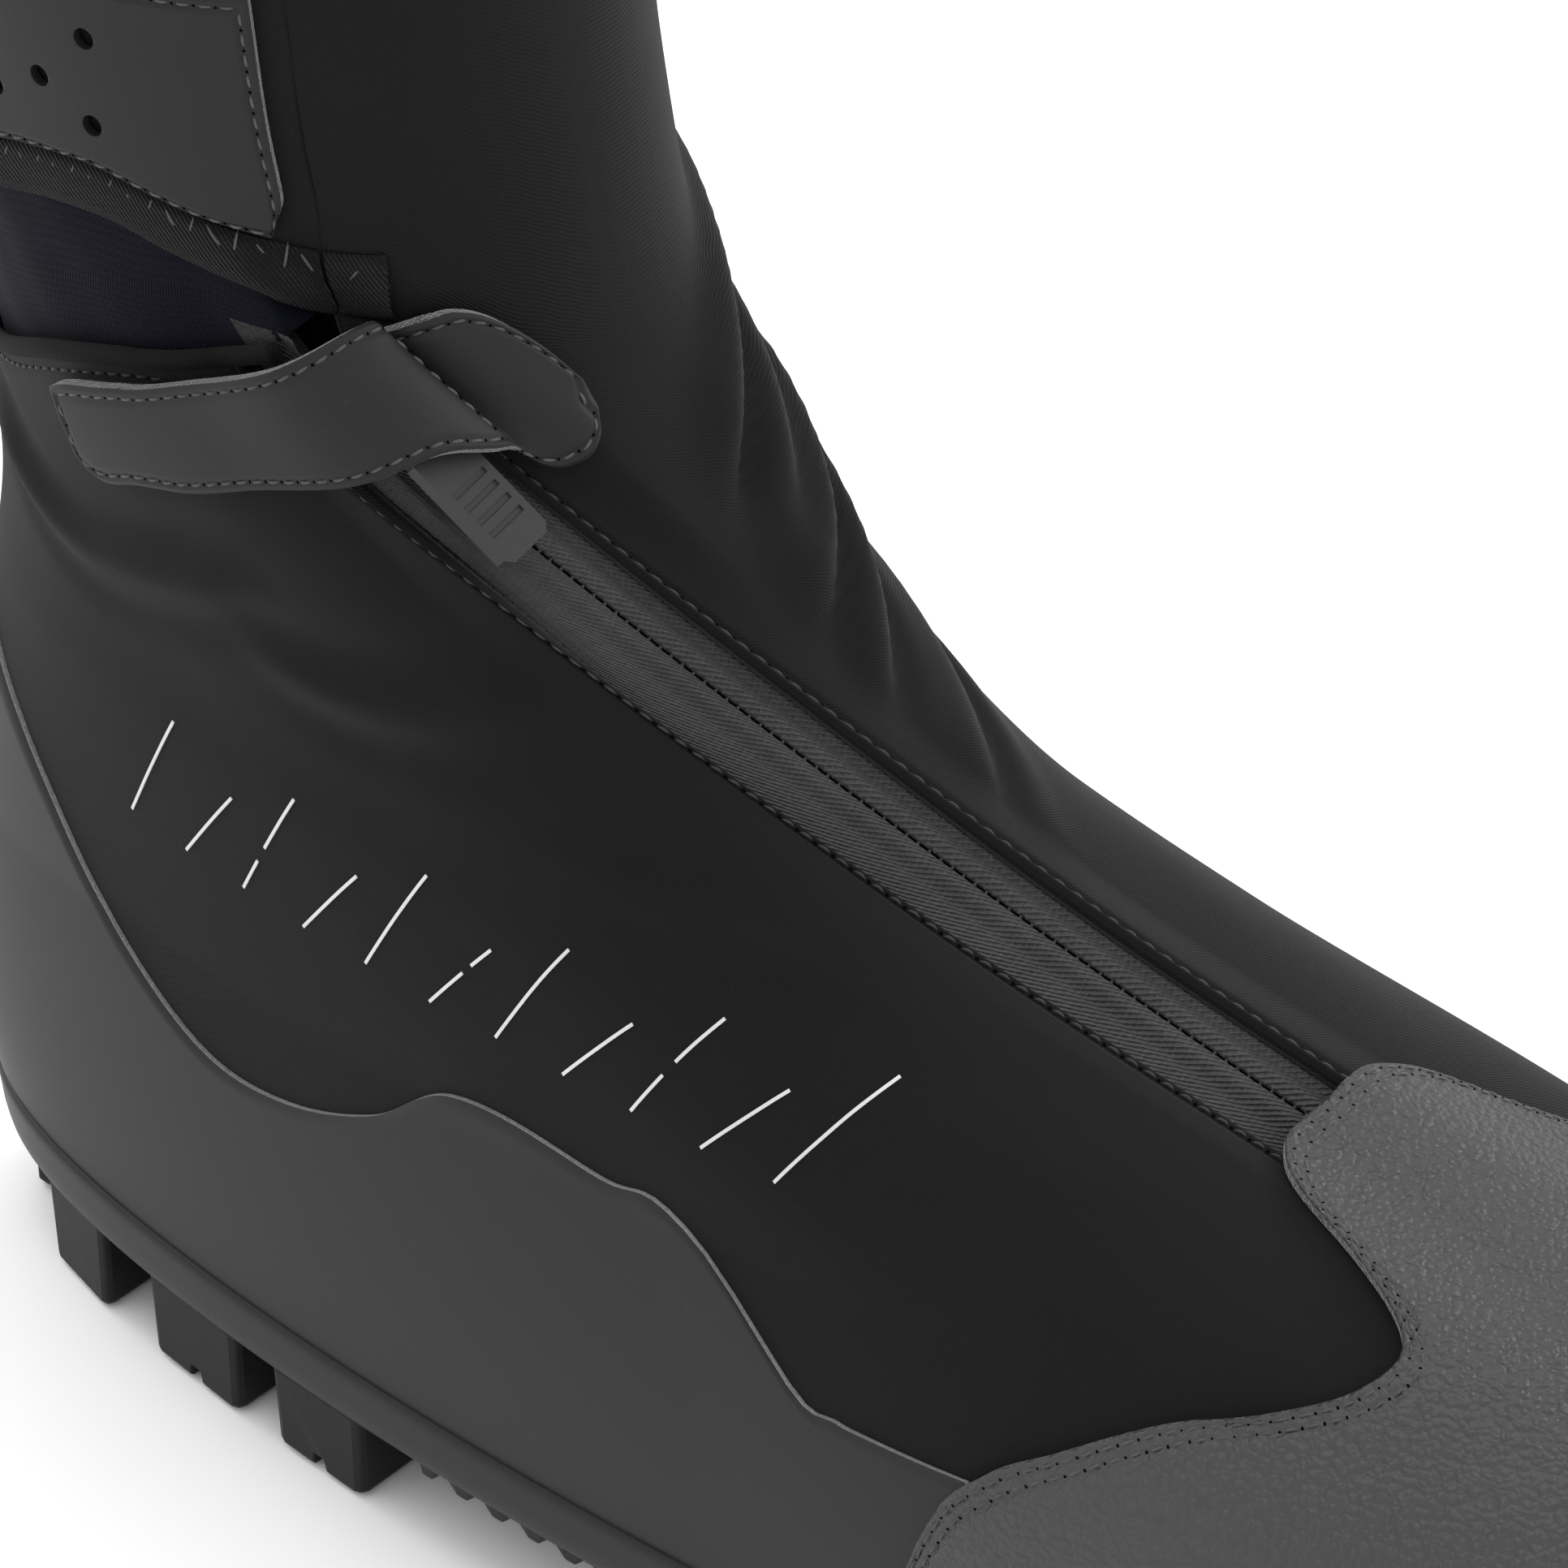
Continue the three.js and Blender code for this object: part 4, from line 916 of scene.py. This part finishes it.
def buildTape(name, near, far, nodes):
    low, high = levelAtTurn(zipLine["bottomTurn"]), levelAtTurn(zipLine["topTurn"])
    t = np.linspace(0, 1, 240)[:, None]
    s = np.linspace(0, 1, 26)[None]
    level = np.broadcast_to(mix(low, high, t), (240, 26))
    across = np.broadcast_to(mix(near, far, s), level.shape)
    angle = besideZip(level, across)
    away = np.abs(across)
    # a bead over the coil, a shallow channel beside it, then fine ribs
    top = zipParts["top"] + .55 * gap(away, 1.7, .95) - .25 * gap(away, 3.5, .5) \
        + .05 * np.cos(away * 2 * np.pi / 1.15) * ease((away - 3.2) / .5)
    return layer(name, angle, level, top, zipParts["tape"], [looks["tape"]], "boot", "zip_tape", nodes, rounding=.15)


buildTape("zipTapeOuter", zipParts["outer"], -zipParts["gapHalf"], ("zip_tape_outer", "zip_coil_outer"))
buildTape("zipTapeInner", zipParts["gapHalf"], zipParts["inner"], ("zip_tape_inner", "zip_coil_inner"))


def buildTeeth():
    # small rounded bars across the gap at the coil's pitch
    turns = np.linspace(zipLine["bottomTurn"] + 2, zipLine["topTurn"] - 2, 300)
    arc = zipLine["centre"] + zipRadius * (np.cos(np.radians(turns))[:, None] * zipOut
                                           + np.sin(np.radians(turns))[:, None] * zipAlong)
    outward = -(np.cos(np.radians(turns))[:, None] * zipOut + np.sin(np.radians(turns))[:, None] * zipAlong)
    outward = unit(outward + zipLine["axis"] * zipLine["slope"])
    stitchRun("zipTeeth", [(arc + outward * -2.15, outward)], looks["teeth"], "boot",
              pitch=zipParts["toothPitch"], length=.55, width=.8, skew=8)


buildTeeth()
print("zip made")


# ---- ankle strap and its sewn anchor ----

strap = {
    "stops": [0, .13, .35, .6, .82, .94, 1],
    "lowAngle": [-29, -36, -50, -72, -95, -105, -108.5], "lowLevel": [.744, .739, .733, .706, .66, .643, .656],
    "highAngle": [-43.5, -48, -58, -75, -94, -104, -108.5],
    "highLevel": [.804, .799, .786, .756, .717, .697, .684],
    "liftStops": [0, .12, .3, .5, .7, 1], "lift": [2.9, 4.3, 4.7, 3.4, 2.4, 2.1], "start": .013, "end": .97,
    "anchorStops": [0, .3, .6, .85, 1],
    "anchorLowAngle": [-28.6, -24, -19.5, -15.5, -13.5], "anchorLowLevel": [.744, .7395, .7395, .745, .758],
    "anchorHighAngle": [-43.0, -34.5, -26, -18.5, -14.2], "anchorHighLevel": [.805, .813, .8075, .789, .772],
    "thick": 1.4, "stitchDepth": 1.35,
}


def edgeGroove(depth):
    def relief(left, right, bottom, high):
        near = np.minimum(np.minimum(left, right), np.minimum(bottom, high))
        return -.3 * gap(near, depth, .42) - .3 * gap(near, 0, .35)
    return relief


def denseEnds(count, strength=.75):
    # even steps pulled towards both ends by a sine
    q = np.linspace(0, 1, count)
    return q - strength * np.sin(2 * np.pi * q) / (2 * np.pi)


def buildStrap():
    s = mix(strap["start"], strap["end"], denseEnds(150, .6)[None])
    t = denseEnds(34)[:, None]
    curve = {key: through(strap["stops"], strap[key]) for key in ("lowAngle", "lowLevel", "highAngle", "highLevel")}
    angle = mix(curve["lowAngle"](s), curve["highAngle"](s), t)
    level = mix(curve["lowLevel"](s), curve["highLevel"](s), t)
    lift = through(strap["liftStops"], strap["lift"])(s) + strap["thick"] + .25 * np.sin(np.pi * t) * ease(s * 4)
    groove = edgeGroove(strap["stitchDepth"])
    _, grid, out = layer("ankleStrap", angle, level, lift, strap["thick"],
                         [looks["strapLeather"], looks["cutEdge"]], "strap", "smooth_leather",
                         ("ankle_strap",), rounding=.18, surface=calmSkin,
                         relief=lambda a, b, c, d: groove(a + 3, b, c, d))
    depth = strap["stitchDepth"]
    runs = [insetPath(grid, out, "bottom", depth, 2.4, depth), insetPath(grid, out, "top", depth, 2.4, depth),
            insetPath(grid, out, "right", depth, depth, depth), insetPath(grid, out, "left", 2.2, 2.6, 2.6)]
    sewn("strapStitches", runs, looks["threadGrey"], "strap", lift=.03)


def buildAnchor():
    s = denseEnds(70)[None]
    t = denseEnds(40)[:, None]
    curve = {key: through(strap["anchorStops"], strap[key])
             for key in ("anchorLowAngle", "anchorLowLevel", "anchorHighAngle", "anchorHighLevel")}
    angle = mix(curve["anchorLowAngle"](s), curve["anchorHighAngle"](s), t)
    level = mix(curve["anchorLowLevel"](s), curve["anchorHighLevel"](s), t)
    groove = edgeGroove(strap["stitchDepth"])
    _, grid, out = layer("strapAnchor", angle, level, .95 + strap["thick"] + 1.1 * (1 - ease(s / .6)),
                         strap["thick"], [looks["strapLeather"], looks["cutEdge"]], "boot", "smooth_leather",
                         ("strap_anchor",), rounding=.18, relief=groove)
    depth = strap["stitchDepth"]
    runs = [insetPath(grid, out, side, depth, .5 if side in ("bottom", "top") else depth, depth)
            for side in ("bottom", "top", "right", "left")]
    sewn("anchorStitches", runs, looks["threadGrey"], "boot", lift=.03)


buildStrap()
buildAnchor()
print("strap made")


# ---- wrap cuff: flap, binding with zigzag, rim, vent panel, inner cuff ----

cuff = {
    "lowAngles": [-172, -130, -106, -94, -84, -76, -67, -57, -50],
    "lowLevels": [.797, .80, .81, .822, .827, .822, .816, .813, .812],
    "end": -172, "shell": 1.4, "zigzag": (.006, .031), "zigzagPitch": 2.6,
    "panelFrom": -150, "panelTo": -54.5, "panelTop": .975, "panelThick": .9, "stitchDepth": 1.3,
    "ventRadius": 1.35,
    "vents": [(.937, -80.5), (.883, -82), (.903, -89), (.932, -95), (.883, -97.5), (.906, -104.5), (.934, -111),
              (.885, -113)],
}
flapLow = through(cuff["lowAngles"], cuff["lowLevels"])


def flapLift(angle):
    return 2.2 * ease((-angle - 95) / 30)


def buildFlap():
    s = np.linspace(0, 1, 150)[None]
    q = np.linspace(0, 1, 70)[:, None]
    angle = np.broadcast_to(mix(cuff["end"], upper["hingeAngle"] - .02, s), (70, 150))
    level = mix(flapLow(angle), upper["shellTop"], q)
    top = flapLift(angle) + softSwell(angle, level) * ease((-angle - 52) / 8)
    return layer("cuffFlap", angle, level, top, cuff["shell"], [looks["softshell"]], "cuff", "softshell",
                 ("cuff_flap",), rounding=0)


buildFlap()


def buildFlapBinding(name, first, last, body, nodes):
    # a folded tape over the flap's lower edge, round at the bottom
    angle = np.linspace(first, last, 170)
    low = flapLow(angle)
    offsets = np.array([-1.6, -1.75, -1.3, -.2, .65, .95, .95, .8, .55]) if body == "cuff" else \
        np.array([.1, .1, .2, .4, .65, .95, .95, .8, .55])
    levelsUp = np.array([.014, .001, -.0045, -.006, -.003, .003, .012, .020, .0265])
    a = np.broadcast_to(angle[None], (9, 170))
    level = low[None] + levelsUp[:, None]
    base = skin(a, level)
    out = normals(skin, a, level)
    outer = base + out * (offsets[:, None] + flapLift(angle)[None])[..., None]
    steer = np.array([.35, .1, -.2, -.35, -.35, -.3, -.3, -.3, -.3])
    inner = outer + out * steer[:, None, None]
    points, quads, _, uv = shell(outer, inner)
    piece = linkMesh(name, points, quads, uv, None, [looks["binding"]])
    finishPiece(piece, body, nodes)


def buildZigzag(name, first, last, body):
    angle = np.linspace(first, last, 900)
    line = skin(angle, flapLow(angle) + .02)
    run = runningLength(line)
    number = int(run[-1] / cuff["zigzagPitch"])
    at = np.linspace(0, run[-1], number)
    turnAngle = np.interp(at, run, angle)
    high = np.where(np.arange(number) % 2 == 0, *cuff["zigzag"])
    level = flapLow(turnAngle) + high
    out = normals(skin, turnAngle, level)
    corner = skin(turnAngle, level) + out * (flapLift(turnAngle) + np.where(high > .02, .18, 1.02))[:, None]
    runs = [(corner[k:k + 2], out[k:k + 2]) for k in range(number - 1)]
    # each slanting stitch fills its own leg of the zigzag
    stitchRun(name, runs, looks["threadGrey"], body, pitch=6, length=3.3, width=.34, lift=.05,
              skew=0)


buildFlapBinding("cuffFlapBinding", cuff["end"], upper["hingeAngle"] - .5, "cuff", ("cuff_flap_binding",))
buildZigzag("cuffZigzag", cuff["end"] + 1, upper["hingeAngle"] - 1.2, "cuff")
buildFlapBinding("frontBinding", upper["hingeAngle"] + .3, -40.5, "boot", ())
buildZigzag("frontZigzag", upper["hingeAngle"] + .8, -41, "boot")


def buildRimTape(name, first, last, body, node, lift):
    angle = np.linspace(first, last, 200)
    level = np.full(200, .991)
    centre = skin(angle, level) + normals(skin, angle, level) * (-.55 + lift(angle))[:, None]
    ahead = unit(np.gradient(centre, axis=0))
    out = normals(skin, angle, level)
    side = np.cross(out, ahead)
    ring = np.linspace(0, 2 * np.pi, 16, endpoint=False)
    outline = np.stack([2.0 * np.cos(ring), 1.15 * np.sin(ring)], -1)
    sweep(name, centre, side, out, outline, looks["binding"], body, (node,))


buildRimTape("rimTapeFront", upper["hingeAngle"] + 1.6, 179.8, "boot", "rim_binding", lambda angle: 0 * angle)
buildRimTape("rimTapeFlap", cuff["end"], upper["hingeAngle"] - 1.0, "cuff", "cuff_flap_rim", flapLift)


def cylinderMesh(name, radius, depth, place, direction):
    # a plain tool for cutting: a circle of twenty-four points at each end
    ring = np.linspace(0, 2 * np.pi, 24, endpoint=False)
    direction = direction / np.linalg.norm(direction)
    side = np.cross(direction, [0, 0, 1.0])
    side /= np.linalg.norm(side)
    up = np.cross(direction, side)
    disc = radius * (np.cos(ring)[:, None] * side + np.sin(ring)[:, None] * up)
    points = np.concatenate([place + disc - direction * depth, place + disc + direction * depth])
    mesh = bpy.data.meshes.new(name)
    faces = [tuple((k, (k + 1) % 24, 24 + (k + 1) % 24, 24 + k)) for k in range(24)]
    faces += [tuple(range(23, -1, -1)), tuple(range(24, 48))]
    mesh.from_pydata(toMetres(points).tolist(), [], faces)
    return addObject(name, mesh)


def cutAway(piece, tools):
    # joins the tools into one and takes them out of the piece, then keeps the result
    joined = bpy.data.meshes.new("tools")
    points, faces, count = [], [], 0
    for tool in tools:
        points += [tuple(v.co) for v in tool.data.vertices]
        faces += [tuple(v + count for v in p.vertices) for p in tool.data.polygons]
        count = len(points)
        bpy.data.objects.remove(tool)
    joined.from_pydata(points, [], faces)
    cutter = addObject("cutter", joined)
    boolean = piece.modifiers.new("cut", "BOOLEAN")
    boolean.object = cutter
    boolean.operation = "DIFFERENCE"
    boolean.solver = "EXACT"
    for other in [m for m in piece.modifiers if m != boolean]:
        other.show_viewport = False
    bpy.context.view_layer.update()
    result = bpy.data.meshes.new_from_object(piece.evaluated_get(bpy.context.evaluated_depsgraph_get()))
    for other in piece.modifiers:
        other.show_viewport = True
    piece.modifiers.remove(boolean)
    piece.data = result
    bpy.data.objects.remove(cutter)


def buildVentPanel():
    s = denseEnds(170, .7)[None]
    q = denseEnds(64, .7)[:, None]
    rounded = 3.6 * (1 - np.sqrt(np.clip(1 - np.clip(1 - q / .09, 0, 1) ** 2, 0, 1)))
    angle = mix(cuff["panelFrom"], cuff["panelTo"] - rounded, s)
    low = flapLow(angle) + .03 + .012 * ease((angle + 58) / 3.5)
    level = mix(low, cuff["panelTop"], q)
    top = 1.65 + flapLift(angle) + softSwell(angle, level) * .5
    groove = edgeGroove(cuff["stitchDepth"])
    piece, grid, out = layer("cuffVentPanel", angle, level, top, cuff["panelThick"] + .25,
                             [looks["strapLeather"], looks["cutEdge"]], "cuff", "smooth_leather",
                             ("cuff_vent_panel",), rounding=.15, relief=groove)
    depth = cuff["stitchDepth"]
    runs = [insetPath(grid, out, side, depth, depth, depth) for side in ("bottom", "right", "top", "left")]
    tools = []
    for level, angle in cuff["vents"]:
        out = normals(skin, np.array(angle, float), np.array(level, float))
        tools.append(cylinderMesh("vent", cuff["ventRadius"], 3.2,
                                  skin(angle, level) + out * (1.7 + flapLift(angle)), out))
    cutAway(piece, tools)
    sewn("ventPanelStitches", runs, looks["threadGrey"], "cuff", lift=.03)


buildVentPanel()


def buildInnerCuff():
    q = np.linspace(0, 1, 70)[:, None]
    s = np.linspace(0, 1, 120)[None]
    angle = mix(-upper["seamAngle"], mix(-72, -50.5, ease(q * 5 - .6)), s)
    level = mix(upper["outerTop"](angle) - .05, .985, q)
    top = -2.0 + .15 * np.sin(angle * .3) * np.sin(level * 40)
    layer("innerCuff", angle, level, top, 1.8, [looks["neoprene"]], "boot", "neoprene", ("inner_cuff",), rounding=.4)


buildInnerCuff()
print("cuff made")


# ---- heel loop, sole edge, reflective mark ----

loop = {"low": .575, "high": .725, "stand": 9.0, "half": 6.0, "thick": 1.5}


def buildHeelLoop():
    # a band that leaves the heel, bows out by a sine and comes back, sewn flat at both ends
    t = np.linspace(0, 1, 60)
    level = mix(loop["low"] - .015, loop["high"] + .015, t)
    base = skin(np.full(60, 180.0), level)
    out = normals(skin, np.full(60, 180.0), level)
    bow = loop["stand"] * np.sin(np.pi * np.clip((t - .1) / .8, 0, 1)) ** .8
    centre = base + out * (1.7 + bow)[:, None]
    ahead = unit(np.gradient(centre, axis=0))
    side = np.broadcast_to(np.array([0, 1.0, 0]), centre.shape)
    up = np.cross(side, ahead)
    half, flat = loop["half"], loop["thick"] / 2
    outline = [(-half, -.45), (-half + .3, -.7), (0, -flat), (half - .3, -.7), (half, -.45), (half, .45),
               (half - .3, .7), (0, flat), (-half + .3, .7), (-half, .45)]
    sweep("heelPullLoop", centre, side, up, outline, looks["binding"], "boot", ("heel_pull_loop",))


buildHeelLoop()


def buildSoleEdge():
    # the plate's outline carried round as a closed band with rounded corners, over the plate's own wall
    angle = np.linspace(0, 360, 320, endpoint=False)
    edge = plainSkin(angle, 0)
    along = plainSkin(angle + .4, 0) - plainSkin(angle - .4, 0)
    along[:, 2] = 0
    along = unit(along)
    side = np.stack([along[:, 1], -along[:, 0], np.zeros(len(along))], -1)
    up = np.broadcast_to(np.array([0, 0, 1.0]), side.shape)
    outline = [(-2, 2.5), (1.5, 2.5), (1.95, 2.2), (2.0, 1.2), (1.85, -.2), (1.75, -1), (1.6, -2.6),
               (1.3, -4.2), (1.0, -5.4), (.6, -6.0), (0, -6.18), (-2, -6.18)]
    sweep("soleEdge", edge, side, up, outline, looks["solePlastic"], "boot", closed=True)


buildSoleEdge()

mark = {"top": .16, "foot": .02, "width": .42, "lean": 8.5,
        "strokes": [(.352, .452, 0), (.348, .418, 0), (.346, .449, .3), (.342, .412, 0), (.340, .445, 0),
                    (.336, .408, .55), (.334, .441, 0), (.331, .403, 0), (.329, .437, .4), (.326, .399, 0),
                    (.324, .433, 0)]}


def angleAtX(x, level):
    # the skin's own formula for x, turned round, on the outside of the foot
    power = 2 / (2.55 - .4 * np.clip(level / .6, 0, 1))
    share = (x - shape["backX"](level)) / (shape["frontX"](level) - shape["backX"](level))
    even = 2 * share - 1
    return -np.degrees(np.arccos(np.sign(even) * np.abs(even) ** (1 / power)))


def buildMark():
    # slanting hairlines of two lengths in turn, a few of them with a break
    first, last = (float(plainSkin(a, .34)[0]) for a in (-122, -73))
    runs = []
    for number, (low, high, broken) in enumerate(mark["strokes"]):
        foot = mix(first, last, number / (len(mark["strokes"]) - 1))
        for start, end in [(0, 1)] if not broken else [(0, broken), (broken + .14, 1)]:
            u = mix(start, end, np.linspace(0, 1, 40))
            level = mix(low, high, u)
            runs.append((angleAtX(foot + mark["lean"] * u, level), level))
    points, quads, count = [], [], 0
    for angle, level in runs:
        base = skin(angle, level)
        out = normals(skin, angle, level)
        lift = softSwell(angle, level)
        ahead = unit(np.gradient(base, axis=0))
        side = np.cross(out, ahead) * mark["width"] / 2
        centre = base + out * lift[:, None]
        block = np.stack([centre + side + out * mark["top"], centre - side + out * mark["top"],
                          centre - side + out * mark["foot"], centre + side + out * mark["foot"]], 1)
        n = len(block)
        for k in range(n - 1):
            for m in range(4):
                a, b = k * 4 + m, k * 4 + (m + 1) % 4
                quads.append((count + a, count + b, count + b + 4, count + a + 4))
        quads.append((count + 3, count + 2, count + 1, count))
        quads.append((count + n * 4 - 4, count + n * 4 - 3, count + n * 4 - 2, count + n * 4 - 1))
        points.append(block.reshape(-1, 3))
        count += n * 4
    points, quads = np.concatenate(points), np.array(quads)
    piece = linkMesh("reflectiveMark", points, quads[:, ::-1], None, None, [looks["silver"]], smooth=False)
    finishPiece(piece, "boot")


buildMark()
print("trim made")


# ---- camera, light and floor ----

view = {"azimuth": 41, "height": 32, "roll": 2, "distance": 896.2, "lens": 177, "sensor": 36,
        "pivot": (110, -20, 90), "aim": (122.5, -0.8, 100.1)}


def placeCamera():
    # the camera stands back from the pivot at its azimuth and height, and looks at the aim
    a, e, r = (math.radians(view[k]) for k in ("azimuth", "height", "roll"))
    back = Vector((math.sin(a) * math.cos(e), -math.cos(a) * math.cos(e), math.sin(e)))
    right = Vector((math.cos(a), math.sin(a), 0))
    right = right * math.cos(r) - back.cross(right) * math.sin(r)
    pivot, aim = (Vector(toMetres(np.array(view[k], float)).tolist()) for k in ("pivot", "aim"))
    place = pivot + back * view["distance"] / 1000
    z = (place - aim).normalized()
    x = (right - z * right.dot(z)).normalized()
    y = z.cross(x)
    lens = bpy.data.cameras.new("camera")
    lens.sensor_width = view["sensor"]
    lens.lens = view["lens"]
    lens.clip_start, lens.clip_end = .05, 50
    camera = addObject("camera", lens)
    camera.matrix_world = Matrix((x, y, z)).transposed().to_4x4()
    camera.location = place
    bpy.context.scene.camera = camera


placeCamera()


def placeFloor():
    mesh = bpy.data.meshes.new("floor")
    mesh.from_pydata([(-6, -6, -.0003), (6, -6, -.0003), (6, 6, -.0003), (-6, 6, -.0003)], [], [(0, 1, 2, 3)])
    floor = addObject("floor", mesh)
    paper = bpy.data.materials.new("pale paper")
    paper.use_nodes = True
    paint = paper.node_tree.nodes["Principled BSDF"]
    paint.inputs["Base Color"].default_value = (.98, .98, .98, 1)
    paint.inputs["Roughness"].default_value = .95
    paint.inputs["Specular IOR Level"].default_value = .1
    mesh.materials.append(paper)


placeFloor()


def placeLight(name, place, aim, size, power, colour=(1, 1, 1)):
    lamp = bpy.data.lights.new(name, "AREA")
    lamp.shape = "RECTANGLE"
    lamp.size, lamp.size_y = size
    lamp.energy = power
    lamp.color = colour
    item = addObject(name, lamp)
    item.location = place
    item.rotation_euler = (Vector(aim) - Vector(place)).to_track_quat("-Z", "Y").to_euler()


placeLight("overhead", (-.1, .1, 1.5), (0, 0, .08), (1.6, 1.2), 6)
placeLight("backLeft", (-1.3, .1, .9), (-.05, 0, .1), (.5, 1.2), 5)
placeLight("backRight", (.7, 1.2, .8), (0, 0, .1), (1.2, .5), 9)
placeLight("frontFill", (.9, -1.4, .8), (0, 0, .1), (1.2, 1.0), 1.5)
world = bpy.data.worlds.new("white room")
bpy.context.scene.world = world
world.use_nodes = True
world.node_tree.nodes["Background"].inputs[0].default_value = (1, 1, 1, 1)
world.node_tree.nodes["Background"].inputs[1].default_value = 1.12
bpy.context.scene.view_settings.view_transform = "Standard"
